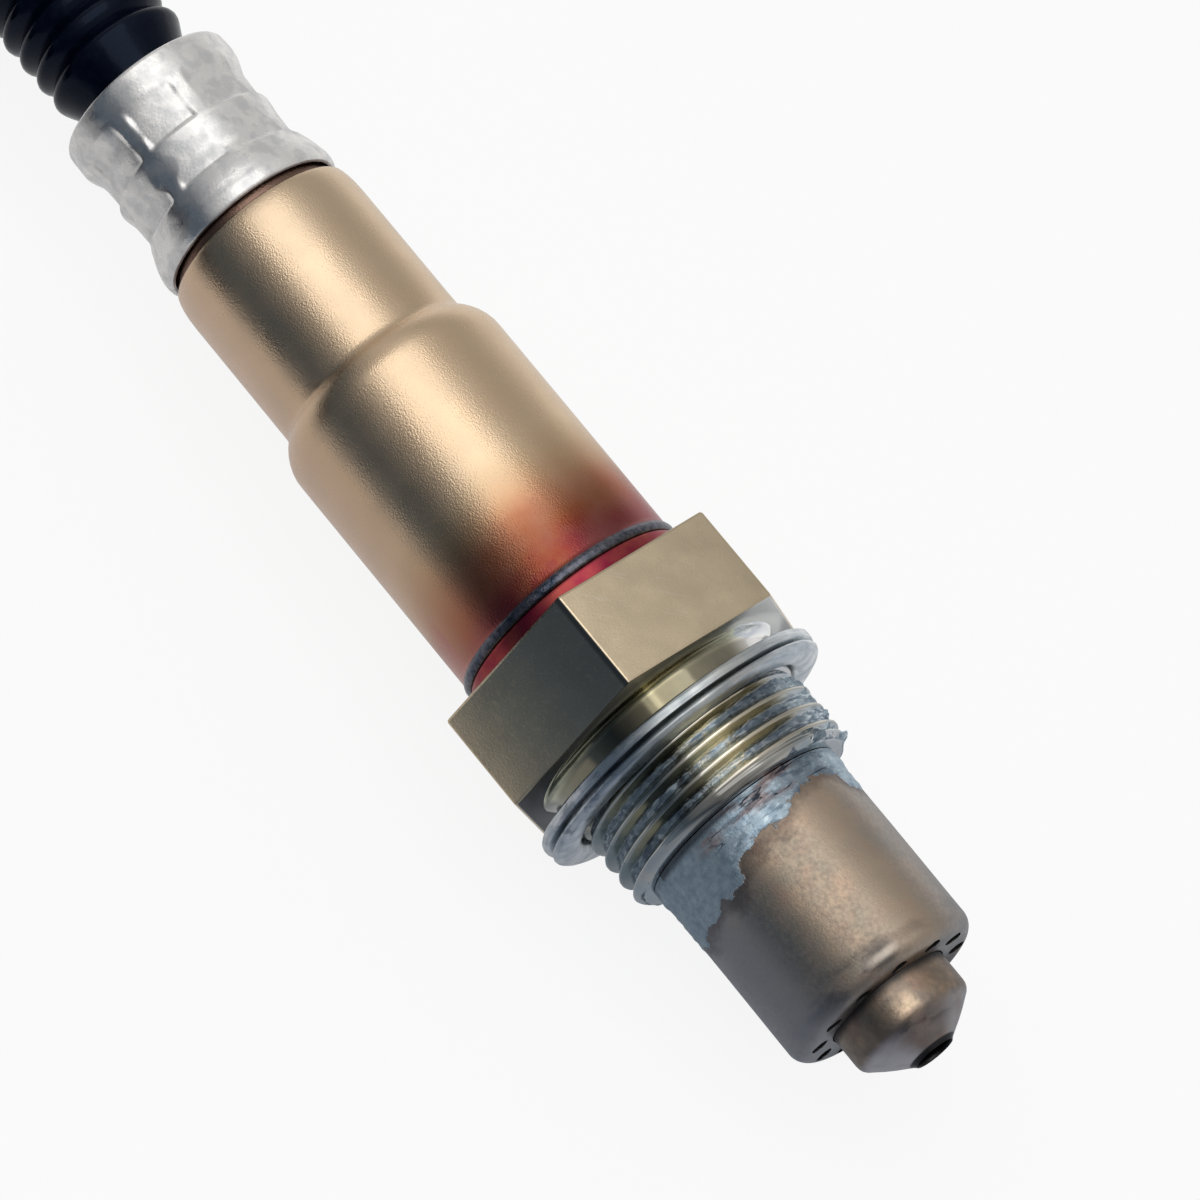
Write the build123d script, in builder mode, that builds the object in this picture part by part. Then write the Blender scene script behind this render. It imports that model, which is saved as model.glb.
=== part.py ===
from build123d import *
import math
import os

# Planar oxygen sensor lying on its side, in millimetres. X runs along the sensor towards its
# sensing tip, Z points up, and the origin is on the axis in the plane of the hexagon's
# seating shoulder. Positions along the axis are called stations.

os.makedirs("parts", exist_ok=True)

# Clearances shared by every fit.
slide_gap = 0.05      # radial gap between pieces that slide into each other
face_gap = 0.05       # gap between end faces that are stacked
wire_gap = 0.05       # radial gap round a wire in its hole

# Housing: hexagon, neck and shank, turned from one bar.
hex_across_flats = 22.0
hex_height = 7.6
hex_edge_break = 0.25
collar_radius = 8.75
collar_length = 1.6
neck_radius = 8.9
neck_length = 1.5
groove_radius = 8.4            # gasket's groove, below the thread's crests
shank_start = 3.4
shank_radius = 8.95
shank_end = 9.3
shank_chamfer_length = 0.9
shank_end_radius = 7.7
barrel_length = 4.0            # upstand above the collar, inside the sleeve
spigot_length = 2.8            # carries the protection tubes
packing_bore_radius = 5.6
packing_seat = 1.0             # station of the shoulder under the lower ceramic
gas_bore_radius = 4.6
lip_thickness = 0.6
lip_radius = 4.9

# Folded gasket held captive under the hexagon.
gasket_radius = 11.5
gasket_thickness = 1.75
gasket_seam_depth = 0.7
gasket_seam_width = 0.12
gasket_upper_share = 0.95      # thickness of the layer above the seam
gasket_roll = 0.35

# Protection tubes round the sensing tip.
outer_tube_radius = 7.5
outer_tube_wall = 0.5
outer_tube_rim = 0.12          # how far the welded end stands proud
outer_tube_rim_length = 0.9
outer_tube_end = 24.7
outer_tube_round = 1.25
tube_hole_count = 12           # gas holes in the flat end, round the nose
tube_hole_radius = 0.65
tube_hole_ring = 5.87
tube_hole_first_angle = 12.0
inner_tube_wall = 0.4
inner_tube_body_radius = 5.9
inner_tube_step_length = 2.0
inner_tube_step_setback = 1.1  # from the step's end to the outer tube's end
nose_radius = 4.58
nose_reach = 4.95              # how far the nose stands out of the outer tube
nose_cone_length = 2.45
nose_round = 0.9
tip_hole_radius = 1.4
tip_land = 0.18
flange_thickness = 0.5
baffle_hole_count = 6
baffle_hole_radius = 0.7
baffle_hole_station = 17.0

# Sensing element and its packing.
element_width = 4.2
element_thickness = 1.3
element_tip = 22.5
element_length = 58.5
lower_ceramic_length = 3.5
talc_length = 3.5
upper_ceramic_length = 5.5
packing_ring_bore = 3.4

# Protective sleeve, drawn in two steps.
sleeve_wall = 0.5
sleeve_radius = 8.75
sleeve_upper_radius = 7.45
sleeve_step_start = -28.3
sleeve_step_round = 3.8
sleeve_step_length = 2.55
sleeve_crease_length = 0.35
sleeve_shoulder_start = -41.9
sleeve_shoulder_radius = 7.07
sleeve_shoulder = -44.1
sleeve_top = -44.35
sleeve_neck_radius = 5.5
sleeve_neck_root_radius = 5.9
sleeve_neck_taper_end = -46.2
sleeve_neck_top = -55.2
weld_bead_radius = 8.87
weld_bead_width = 0.6

# Crimp sleeve over the grommet.
crimp_wall = 0.55
crimp_rim_radius = 6.72
crimp_top = -57.5
crimp_bottom = -44.85
crimp_lip_radius = 7.0
crimp_bell_radius = 7.2
crimp_bell = -45.6
crimp_rim_length = 1.9
crimp_band_setback = 4.3       # from the rim to the middle of the upper row
crimp_band_spacing = 3.6
crimp_band_upper_radius = 6.2
crimp_band_lower_radius = 6.26
crimp_land_radius = 6.4
crimp_flat_count = 8
crimp_flat_depth = 0.17
crimp_flat_length = 2.7
crimp_flat_width = 4.0
crimp_first_angle = 30.0

# Contacts, carrier, grommet and wires inside the sleeve.
carrier_radius = 5.4
carrier_top = -40.5
carrier_length = 11.0
clip_wall = 0.4
clip_length = 3.0
clip_station = -34.5
clip_tab_width = 2.4
contact_spacing = 1.63         # half the spacing of the contacts, both ways
contact_thickness = 0.25
contact_width = 1.2
channel_width = 2.6
ferrule_radius = 1.2
ferrule_length = 3.2
ferrule_floor = 0.8
tongue_reach = 5.5             # how far a contact's tongue lies along the element
tongue_touch = 3.5
tongue_bend = 1.5
tongue_flare = 0.7
tongue_lift = 0.3
disc_length = 1.3
grommet_flange_length = 1.8
grommet_flange_radius = 6.4
grommet_collar_radius = 5.95
grommet_top_setback = 0.5      # below the crimp sleeve's rim
grommet_collar_taper = 0.35
grommet_spout_radius = 4.3
wire_radius = 0.95

# Lead: corrugated sheath, put away as a coil held by a tie.
sheath_radius = 5.3
sheath_setback = 2.3           # from the crimp sleeve's rim to the sheath's first rib
floor_height = -gasket_radius
turn_pitch = 10.8
coil_entry = -117.0
run_straight = 17.2            # sheath's straight stretch behind the sensor
run_landing = 16.0             # its last stretch before the coil, on the surface
coil_outer_radius = 63.6
coil_tie_start_angle = 30.0    # how far both turns lie side by side past the entry
tail_radius = 42.4
tail_angle = 130.0
tie_angle = 100.0
tie_width = 3.6
tie_thickness = 0.8
tie_squeeze = 0.8              # how far the tie pulls into the sheath
tie_head_length = 5.0
tie_head_width = 4.6
tie_head_height = 3.4
tie_tail_length = 2.5

# Connector on the lead's far end.
cap_length = 11.0
cap_back_width = 14.0
cap_back_height = 11.6
cap_spigot_radius = 3.9
cap_spigot_bore = 3.0
cap_spigot_length = 5.0
cap_wall = 1.6
plug_width = 20.0
plug_height = 13.4
plug_length = 31.0
plug_collar_length = 13.5
plug_nose_width = 17.0
plug_nose_height = 10.4
plug_corner = 2.0
latch_width = 6.0
latch_length = 7.0
latch_height = 2.2
latch_setback = 3.0
rib_width = 1.2
rib_height = 0.6
way_count = 4
way_pitch = 3.7
way_width = 2.3
way_height = 1.7
barrel_radius = 1.15
barrel_grip = 4.0
plug_wire_radius = 0.85
plug_bundle_radius = 1.5
wire_seal_length = 5.0
wire_seal_wall = 1.9
ring_seal_length = 3.0
ring_seal_depth = 0.9
ring_seal_proud = 0.35
lock_depth = 1.6
lock_margin = 1.7

# Stations worked out from the sizes above.
collar_top = -hex_height - collar_length
barrel_top = collar_top - barrel_length
spigot_end = shank_end + spigot_length
tube_start = shank_end + face_gap
barrel_outer_radius = sleeve_radius - sleeve_wall - slide_gap
spigot_radius = outer_tube_radius - outer_tube_wall - slide_gap
gasket_bore = groove_radius + slide_gap
gasket_end = neck_length + gasket_thickness
inner_tube_step_end = outer_tube_end - inner_tube_step_setback
inner_tube_step_start = inner_tube_step_end - inner_tube_step_length
nose_end = outer_tube_end + nose_reach
nose_straight_end = nose_end - nose_cone_length
crimp_rim = crimp_top + crimp_rim_length
crimp_band_upper = crimp_top + crimp_band_setback
crimp_band_lower = crimp_band_upper + crimp_band_spacing
crimp_land = (crimp_band_upper + crimp_band_lower) / 2
grommet_top = crimp_top + grommet_top_setback
sheath_start = crimp_top - sheath_setback


# Housing.
with BuildPart() as sensor_housing:
    with BuildSketch(Plane.YZ.offset(-hex_height)):
        RegularPolygon(hex_across_flats / 2, 6, major_radius=False)
    extrude(amount=hex_height)
    ends = sensor_housing.edges().group_by(Axis.X)
    chamfer(ends[0] + ends[-1], hex_edge_break)
    with BuildSketch(Plane.XY):
        with BuildLine():
            Polyline(
                (barrel_top, 0),
                (barrel_top, barrel_outer_radius),
                (collar_top, barrel_outer_radius),
                (collar_top, collar_radius),
                (-hex_height / 2, collar_radius),
                (-hex_height / 2, neck_radius),
                (neck_length, neck_radius),
                (neck_length, groove_radius),
                (shank_start, groove_radius),
                (shank_start, shank_radius),
                (shank_end - shank_chamfer_length, shank_radius),
                (shank_end, shank_end_radius),
                (shank_end, spigot_radius),
                (spigot_end, spigot_radius),
                (spigot_end, 0),
                close=True,
            )
        make_face()
    revolve(axis=Axis.X)
    with BuildSketch(Plane.XY):
        with BuildLine():
            Polyline(
                (barrel_top, 0),
                (barrel_top, lip_radius),
                (barrel_top + lip_thickness, lip_radius),
                (barrel_top + lip_thickness, packing_bore_radius),
                (packing_seat, packing_bore_radius),
                (packing_seat, gas_bore_radius),
                (spigot_end, gas_bore_radius),
                (spigot_end, 0),
                close=True,
            )
        make_face()
    revolve(axis=Axis.X, mode=Mode.SUBTRACT)
sensor_housing.part.label = "sensor_housing"
export_step(sensor_housing.part, "parts/sensor_housing.step")

# Folded gasket: an upper and a lower layer joined by the outer fold, open at the seam.
gasket_seam = neck_length + gasket_upper_share
with BuildPart() as seal_ring:
    with BuildSketch(Plane.XY):
        with BuildLine():
            Polyline(
                (neck_length + face_gap, gasket_bore),
                (neck_length + face_gap, gasket_radius),
                (gasket_seam, gasket_radius),
                (gasket_seam, gasket_radius - gasket_seam_depth),
                (gasket_seam + gasket_seam_width, gasket_radius - gasket_seam_depth),
                (gasket_seam + gasket_seam_width, gasket_radius - gasket_seam_width),
                (gasket_end - gasket_roll, gasket_radius - gasket_roll),
                (gasket_end, gasket_radius - 2 * gasket_roll),
                (gasket_end, shank_radius + slide_gap),
                (gasket_end - gasket_roll, gasket_bore),
                close=True,
            )
        upper_rim = make_face().vertices().group_by(SortBy.DISTANCE)[-1]
        fillet(upper_rim, gasket_upper_share * 0.42)
    revolve(axis=Axis.X)
seal_ring.part.label = "seal_ring"
export_step(seal_ring.part, "parts/seal_ring.step")

# Outer protection tube: drawn cup with a ring of gas holes in its flat end.
outer_round_centre = outer_tube_end - outer_tube_round
outer_tube_bore = nose_radius + slide_gap
with BuildPart() as outer_protection_tube:
    with BuildSketch(Plane.XY):
        with BuildLine():
            rim_end = tube_start + outer_tube_rim_length
            taper_end = rim_end + outer_tube_rim_length
            Polyline(
                (tube_start, spigot_radius + slide_gap),
                (tube_start, outer_tube_radius + outer_tube_rim),
                (rim_end, outer_tube_radius + outer_tube_rim),
                (taper_end, outer_tube_radius),
                (outer_round_centre, outer_tube_radius),
            )
            RadiusArc(
                (outer_round_centre, outer_tube_radius),
                (outer_tube_end, outer_tube_radius - outer_tube_round),
                outer_tube_round,
            )
            Polyline(
                (outer_tube_end, outer_tube_radius - outer_tube_round),
                (outer_tube_end, outer_tube_bore),
                (outer_tube_end - outer_tube_wall, outer_tube_bore),
                (outer_tube_end - outer_tube_wall, outer_tube_radius - outer_tube_round),
            )
            RadiusArc(
                (outer_tube_end - outer_tube_wall, outer_tube_radius - outer_tube_round),
                (outer_round_centre, outer_tube_radius - outer_tube_wall),
                -(outer_tube_round - outer_tube_wall),
            )
            Line(
                (outer_round_centre, outer_tube_radius - outer_tube_wall),
                (tube_start, spigot_radius + slide_gap),
            )
        make_face()
    revolve(axis=Axis.X)
    with BuildSketch(Plane.YZ.offset(outer_tube_end)):
        with PolarLocations(tube_hole_ring, tube_hole_count, tube_hole_first_angle):
            Circle(tube_hole_radius)
    extrude(amount=-2 * outer_tube_wall, mode=Mode.SUBTRACT)
outer_protection_tube.part.label = "outer_protection_tube"
export_step(outer_protection_tube.part, "parts/outer_protection_tube.step")

# Inner protection tube: flanged cup whose nose passes through the outer tube.
cone_radius = tip_hole_radius + tip_land
with BuildPart() as inner_protection_tube:
    with BuildSketch(Plane.XY):
        with BuildLine():
            flange_end = spigot_end + face_gap + flange_thickness
            Polyline(
                (spigot_end + face_gap, inner_tube_body_radius - inner_tube_wall),
                (spigot_end + face_gap, spigot_radius),
                (flange_end, spigot_radius),
                (flange_end, inner_tube_body_radius),
                (inner_tube_step_start, inner_tube_body_radius),
                (inner_tube_step_end, nose_radius),
                (nose_straight_end, nose_radius),
                (nose_end, cone_radius),
                (nose_end, tip_hole_radius),
                (nose_end - inner_tube_wall, tip_hole_radius),
                (nose_end - inner_tube_wall, cone_radius - inner_tube_wall / 2),
                (nose_straight_end - inner_tube_wall / 2, nose_radius - inner_tube_wall),
                (inner_tube_step_end, nose_radius - inner_tube_wall),
                (inner_tube_step_start, inner_tube_body_radius - inner_tube_wall),
                close=True,
            )
        walls = make_face()
        knee = walls.vertices().filter_by(
            lambda v: abs(v.X - nose_straight_end) < 1e-6 and v.Y > nose_radius - 1e-6
        )
        fillet(knee, nose_round)
    revolve(axis=Axis.X)
    for k in range(baffle_hole_count // 2):
        spun = Plane.XY.rotated((360 / baffle_hole_count * k, 0, 0))
        with BuildSketch(spun):
            with Locations((baffle_hole_station, 0)):
                Circle(baffle_hole_radius)
        extrude(amount=inner_tube_body_radius + 1, both=True, mode=Mode.SUBTRACT)
inner_protection_tube.part.label = "inner_protection_tube"
export_step(inner_protection_tube.part, "parts/inner_protection_tube.step")

# Planar sensing element.
with BuildPart() as sensor_element:
    with BuildSketch(Plane.YZ.offset(element_tip - element_length)):
        Rectangle(element_width, element_thickness)
    extrude(amount=element_length)
    tip_edges = sensor_element.faces().sort_by(Axis.X)[-1].edges().filter_by(Axis.Y)
    chamfer(tip_edges, element_thickness / 4)
sensor_element.part.label = "sensor_element"
export_step(sensor_element.part, "parts/sensor_element.step")


def element_packing(start, length, radius):
    """Round packing with a slot for the element, from its tip-side face upwards."""
    with BuildPart() as packing:
        with BuildSketch(Plane.YZ.offset(start - length)):
            Circle(radius)
            Rectangle(
                element_width + 2 * slide_gap,
                element_thickness + 2 * slide_gap,
                mode=Mode.SUBTRACT,
            )
        extrude(amount=length)
    return packing.part


packing_radius = packing_bore_radius - slide_gap
lower_ceramic_face = packing_seat - face_gap
talc_face = lower_ceramic_face - lower_ceramic_length
upper_ceramic_face = talc_face - talc_length
packing_ring_face = upper_ceramic_face - upper_ceramic_length
for name, start, length in (
    ("lower_ceramic", lower_ceramic_face, lower_ceramic_length),
    ("talc_packing", talc_face, talc_length),
    ("upper_ceramic", upper_ceramic_face, upper_ceramic_length),
):
    packing = element_packing(start, length - face_gap, packing_radius)
    packing.label = name
    export_step(packing, f"parts/{name}.step")

# Steel ring that the housing's lip presses on the packing.
with BuildPart() as packing_ring:
    with BuildSketch(Plane.YZ.offset(barrel_top + lip_thickness + face_gap)):
        Circle(packing_radius)
        Circle(packing_ring_bore, mode=Mode.SUBTRACT)
    extrude(amount=packing_ring_face - barrel_top - lip_thickness - face_gap)
packing_ring.part.label = "packing_ring"
export_step(packing_ring.part, "parts/packing_ring.step")

# Protective sleeve: stepped and necked tube, welded to the housing's collar.
sleeve_foot = collar_top - face_gap
step_drop = sleeve_step_round - math.sqrt(sleeve_step_round**2 - sleeve_step_length**2)
step_end = sleeve_step_start - sleeve_step_length
upper_start = step_end - sleeve_crease_length
with BuildPart() as protective_sleeve:
    with BuildSketch(Plane.XY):
        with BuildLine():
            Polyline(
                (sleeve_foot, sleeve_radius - sleeve_wall),
                (sleeve_foot, weld_bead_radius),
                (sleeve_foot - weld_bead_width, weld_bead_radius),
                (sleeve_foot - weld_bead_width - 0.1, sleeve_radius),
                (sleeve_step_start, sleeve_radius),
            )
            RadiusArc(
                (sleeve_step_start, sleeve_radius),
                (step_end, sleeve_radius - step_drop),
                -sleeve_step_round,
            )
            Polyline(
                (step_end, sleeve_radius - step_drop),
                (upper_start, sleeve_upper_radius),
                (sleeve_shoulder_start, sleeve_upper_radius),
            )
            ThreePointArc(
                (sleeve_shoulder_start, sleeve_upper_radius),
                (
                    (sleeve_shoulder_start + sleeve_shoulder) / 2,
                    (3 * sleeve_upper_radius + sleeve_shoulder_radius) / 4,
                ),
                (sleeve_shoulder, sleeve_shoulder_radius),
            )
            Polyline(
                (sleeve_shoulder, sleeve_shoulder_radius),
                (sleeve_top, sleeve_shoulder_radius - sleeve_wall / 2),
                (sleeve_top, sleeve_neck_root_radius),
                (sleeve_neck_taper_end, sleeve_neck_radius),
                (sleeve_neck_top, sleeve_neck_radius),
                (sleeve_neck_top, sleeve_neck_radius - sleeve_wall),
                (sleeve_neck_taper_end, sleeve_neck_radius - sleeve_wall),
                (sleeve_top + sleeve_wall, sleeve_neck_root_radius - sleeve_wall),
                (sleeve_top + sleeve_wall, sleeve_shoulder_radius - 1.2 * sleeve_wall),
                (sleeve_shoulder_start, sleeve_upper_radius - sleeve_wall),
                (upper_start, sleeve_upper_radius - sleeve_wall),
                (step_end + sleeve_wall / 2, sleeve_radius - step_drop - sleeve_wall),
                (sleeve_step_start, sleeve_radius - sleeve_wall),
                (sleeve_foot, sleeve_radius - sleeve_wall),
            )
        make_face()
    revolve(axis=Axis.X)
protective_sleeve.part.label = "protective_sleeve"
export_step(protective_sleeve.part, "parts/protective_sleeve.step")

# Crimp sleeve: flared bell, two rows of crimp flats and a rounded rim.
crimp_profile = (
    (crimp_bottom, crimp_lip_radius),
    (crimp_bell, crimp_bell_radius),
    ((crimp_bell + crimp_band_lower) / 2, (crimp_bell_radius + crimp_band_lower_radius) / 2),
    (crimp_band_lower, crimp_band_lower_radius),
    (crimp_land, crimp_land_radius),
    (crimp_band_upper, crimp_band_upper_radius),
    (crimp_rim, crimp_rim_radius),
)
with BuildPart() as crimp_sleeve:
    with BuildSketch(Plane.XY):
        with BuildLine():
            outside = Spline(*crimp_profile)
            inside = Spline(*[(x, r - crimp_wall) for x, r in crimp_profile])
            rim_corner = (crimp_rim, crimp_rim_radius)
            Polyline(
                rim_corner,
                (crimp_top + crimp_wall / 2, crimp_rim_radius),
                (crimp_top, crimp_rim_radius - crimp_wall / 2),
                (crimp_top, crimp_rim_radius - crimp_wall),
                (crimp_rim, crimp_rim_radius - crimp_wall),
            )
            Line(inside @ 0, outside @ 0)
        make_face()
    revolve(axis=Axis.X)
    for band, radius in (
        (crimp_band_upper, crimp_band_upper_radius),
        (crimp_band_lower, crimp_band_lower_radius),
    ):
        for k in range(crimp_flat_count):
            turned = Plane.XY.rotated((crimp_first_angle + 360 / crimp_flat_count * k, 0, 0))
            foot = turned.y_dir * (radius - crimp_flat_depth) + Vector(band, 0, 0)
            with BuildSketch(Plane(origin=foot, x_dir=(1, 0, 0), z_dir=turned.y_dir)):
                Rectangle(crimp_flat_length, crimp_flat_width)
            extrude(amount=1.0, mode=Mode.SUBTRACT)
crimp_sleeve.part.label = "crimp_sleeve"
export_step(crimp_sleeve.part, "parts/crimp_sleeve.step")


# Contact carrier: two ceramic halves with channels for the contacts.
def carrier_half(side):
    """Half of the carrier, above the element for side 1 and below it for side -1."""
    with BuildPart() as half:
        with BuildSketch(Plane.YZ.offset(carrier_top)):
            Circle(carrier_radius)
            with Locations((0, -side * (carrier_radius - slide_gap))):
                Rectangle(3 * carrier_radius, 2 * carrier_radius, mode=Mode.SUBTRACT)
            Rectangle(
                element_width + 2 * slide_gap,
                element_thickness + 2 * slide_gap,
                mode=Mode.SUBTRACT,
            )
            for y in (-contact_spacing, contact_spacing):
                with Locations((y, side * contact_spacing)):
                    Rectangle(channel_width, channel_width, mode=Mode.SUBTRACT)
        extrude(amount=carrier_length)
    return half.part


for name, side in (("upper_contact_carrier", 1), ("lower_contact_carrier", -1)):
    half = carrier_half(side)
    half.label = name
    export_step(half, f"parts/{name}.step")

# Spring clip round the carrier, its tabs bearing on the sleeve.
clip_inner = carrier_radius + slide_gap
with BuildPart() as carrier_clip:
    with BuildSketch(Plane.YZ.offset(clip_station)):
        Circle(clip_inner + clip_wall)
        with PolarLocations(clip_inner + clip_wall, 4, 45):
            Rectangle(4 * clip_wall, clip_tab_width)
        Circle(sleeve_upper_radius - sleeve_wall - slide_gap, mode=Mode.INTERSECT)
        Circle(clip_inner, mode=Mode.SUBTRACT)
    extrude(amount=clip_length)
carrier_clip.part.label = "carrier_clip"
export_step(carrier_clip.part, "parts/carrier_clip.step")

# Four contacts: a sprung tongue on the element and a barrel crimped on the wire.
element_end = element_tip - element_length
tongue_height = element_thickness / 2 + contact_thickness / 2 + face_gap
ferrule_start = carrier_top + ferrule_length
contact_corners = [
    (y, z)
    for y in (-contact_spacing, contact_spacing)
    for z in (-contact_spacing, contact_spacing)
]
with BuildPart() as contacts:
    for y, z in contact_corners:
        side = math.copysign(1, z)
        with BuildSketch(Plane.XZ.offset(-y)):
            with BuildLine():
                Polyline(
                    (element_end + tongue_reach, side * (tongue_height + tongue_flare)),
                    (element_end + tongue_touch, side * tongue_height),
                    (element_end + tongue_bend, side * (tongue_height + tongue_lift)),
                    (ferrule_start - ferrule_floor / 2, z),
                )
            trace(line_width=contact_thickness)
        extrude(amount=contact_width / 2, both=True)
        with BuildSketch(Plane.YZ.offset(carrier_top)):
            with Locations((y, z)):
                Circle(ferrule_radius)
        extrude(amount=ferrule_length)
        with BuildSketch(Plane.YZ.offset(carrier_top)):
            with Locations((y, z)):
                Circle(wire_radius + wire_gap)
        extrude(amount=ferrule_length - ferrule_floor, mode=Mode.SUBTRACT)
contacts.part.label = "contacts"
export_step(contacts.part, "parts/contacts.step")

# Ceramic disc between the carrier and the grommet.
disc_face = carrier_top - face_gap
grommet_face = disc_face - disc_length - face_gap
with BuildPart() as support_disc:
    with BuildSketch(Plane.YZ.offset(disc_face - disc_length)):
        Circle(sleeve_upper_radius - sleeve_wall - 2 * slide_gap)
        with Locations(*contact_corners):
            Circle(wire_radius + wire_gap, mode=Mode.SUBTRACT)
    extrude(amount=disc_length)
support_disc.part.label = "support_disc"
export_step(support_disc.part, "parts/support_disc.step")

# Rubber grommet with four wire holes, squeezed by the crimp sleeve.
grommet_radius = sleeve_neck_radius - sleeve_wall - slide_gap
with BuildPart() as wire_grommet:
    with BuildSketch(Plane.XY):
        with BuildLine():
            Polyline(
                (grommet_face, 0),
                (grommet_face, grommet_flange_radius),
                (grommet_face - grommet_flange_length, grommet_flange_radius),
                (grommet_face - grommet_flange_length, grommet_radius),
                (sleeve_neck_top - face_gap, grommet_radius),
                (sleeve_neck_top - face_gap, grommet_collar_radius - grommet_collar_taper),
                (crimp_rim, grommet_collar_radius),
                (grommet_top, grommet_collar_radius),
                (grommet_top, grommet_spout_radius),
                (sheath_start, grommet_spout_radius),
                (sheath_start, 0),
                close=True,
            )
        make_face()
    revolve(axis=Axis.X)
    with BuildSketch(Plane.YZ.offset(sheath_start)):
        with Locations(*contact_corners):
            Circle(wire_radius + wire_gap)
    extrude(amount=grommet_face - sheath_start, mode=Mode.SUBTRACT)
wire_grommet.part.label = "wire_grommet"
export_step(wire_grommet.part, "parts/wire_grommet.step")

# Four wires from the contacts to the sheath.
with BuildPart() as sensor_wires:
    with BuildSketch(Plane.YZ.offset(sheath_start)):
        with Locations(*contact_corners):
            Circle(wire_radius)
    extrude(amount=ferrule_start - ferrule_floor - face_gap - sheath_start)
sensor_wires.part.label = "sensor_wires"
export_step(sensor_wires.part, "parts/sensor_wires.step")

# Sheath from the sensor down to the surface that the sensor lies on. The route's points:
sheath_height = floor_height + sheath_radius
run_points = [
    (sheath_start, 0, 0),
    (sheath_start - run_straight, 0, 0),
    (coil_entry + run_landing, 0, sheath_height),
    (coil_entry, 0, sheath_height),
]
run_radii = []
for before, corner, after in zip(run_points, run_points[1:], run_points[2:]):
    leg_in = Vector(corner) - Vector(before)
    leg_out = Vector(after) - Vector(corner)
    half_turn = math.radians(leg_in.get_angle(leg_out)) / 2
    run_radii.append(0.45 * min(leg_in.length, leg_out.length) / math.tan(half_turn))
with BuildPart() as sheath_run:
    with BuildLine():
        run_path = FilletPolyline(*run_points, radius=run_radii)
    with BuildSketch(Plane(origin=run_points[0], z_dir=(-1, 0, 0))):
        Circle(sheath_radius)
    sweep(path=run_path)
sheath_run.part.label = "sheath_run"
export_step(sheath_run.part, "parts/sheath_run.step")
run_volume = math.pi * sheath_radius**2 * run_path.length
print("sheath run radii", [round(r, 1) for r in run_radii], "length", round(run_path.length, 1))
print("sheath run volume over section times length", round(sheath_run.part.volume / run_volume, 4))

# Coil: half turns of shrinking radius, the second turn lying inside the first, then the tail.
coil_centre = Vector(coil_entry, -coil_outer_radius, sheath_height)
half_turn_radius = coil_outer_radius - turn_pitch / 2
inner_turn_radius = coil_outer_radius - turn_pitch
with BuildPart() as sheath_coil:
    with BuildLine(Plane.XY.offset(sheath_height)):
        first = JernArc((coil_entry, 0), (-1, 0), coil_outer_radius, 180)
        second = JernArc(first @ 1, first % 1, half_turn_radius, 180)
        third = JernArc(second @ 1, second % 1, inner_turn_radius, coil_tie_start_angle)
        tail = JernArc(third @ 1, third % 1, tail_radius, tail_angle)
    coil_path = Wire([first, second, third, tail])
    with BuildSketch(Plane(origin=(coil_entry, 0, sheath_height), z_dir=(-1, 0, 0))):
        Circle(sheath_radius)
    sweep(path=coil_path)
    tail_end = tail @ 1
    heading = tail % 1
    plug_face = Plane(origin=tail_end, x_dir=heading.cross(Vector(0, 0, 1)) * -1, z_dir=heading)
    with BuildSketch(plug_face):
        Circle(cap_spigot_radius + slide_gap * 2)
    extrude(amount=-cap_spigot_length - 2 * face_gap, mode=Mode.SUBTRACT)
    tie_out = Vector(math.cos(math.radians(tie_angle)), math.sin(math.radians(tie_angle)), 0)
    tie_middle = coil_centre + tie_out * (coil_outer_radius - turn_pitch / 2)
    tie_plane = Plane(origin=tie_middle, x_dir=tie_out, z_dir=tie_out.cross(Vector(0, 0, 1)))
    squeezed_radius = sheath_radius - tie_squeeze
    with BuildSketch(tie_plane):
        SlotCenterToCenter(turn_pitch, 2 * (sheath_radius + 1))
        SlotCenterToCenter(turn_pitch, 2 * squeezed_radius, mode=Mode.SUBTRACT)
    extrude(amount=tie_width / 2 + face_gap, both=True, mode=Mode.SUBTRACT)
sheath_coil.part.label = "sheath_coil"
export_step(sheath_coil.part, "parts/sheath_coil.step")
print("coil length", round(coil_path.length, 1), "tail end", tail_end, "heading", heading)

# Cable tie round the two turns: band, head and cut-off tail.
tie_inner = squeezed_radius + slide_gap / 2
with BuildPart() as cable_tie:
    with BuildSketch(tie_plane):
        SlotCenterToCenter(turn_pitch, 2 * (tie_inner + tie_thickness - slide_gap))
        SlotCenterToCenter(turn_pitch, 2 * tie_inner, mode=Mode.SUBTRACT)
    extrude(amount=tie_width / 2, both=True)
    head_foot = tie_inner + tie_thickness / 2
    with BuildSketch(tie_plane):
        with Locations((0, head_foot + tie_head_height / 2)):
            RectangleRounded(tie_head_length, tie_head_height, 0.6)
        with Locations((tie_head_length / 2 + tie_tail_length / 2, head_foot + tie_head_height / 2)):
            Rectangle(tie_tail_length, tie_thickness)
    extrude(amount=tie_head_width / 2, both=True)
cable_tie.part.label = "cable_tie"
export_step(cable_tie.part, "parts/cable_tie.step")

# Connector stations, along the heading from the sheath's cut end.
plug_middle = plug_height / 2 - sheath_radius
plug_start = cap_length
plug_end = cap_length + plug_length
collar_end = plug_start + plug_collar_length
way_centres = [(k - (way_count - 1) / 2) * way_pitch for k in range(way_count)]
seal_width = way_pitch * (way_count - 1) + 2 * barrel_radius + wire_seal_wall
seal_height = 2 * barrel_radius + 2 * wire_seal_wall


def plug_section(distance):
    """Plane across the connector at a distance along its heading, centred on its body."""
    return Plane(
        origin=tail_end + heading * distance + Vector(0, 0, plug_middle),
        x_dir=plug_face.x_dir,
        z_dir=heading,
    )


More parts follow.
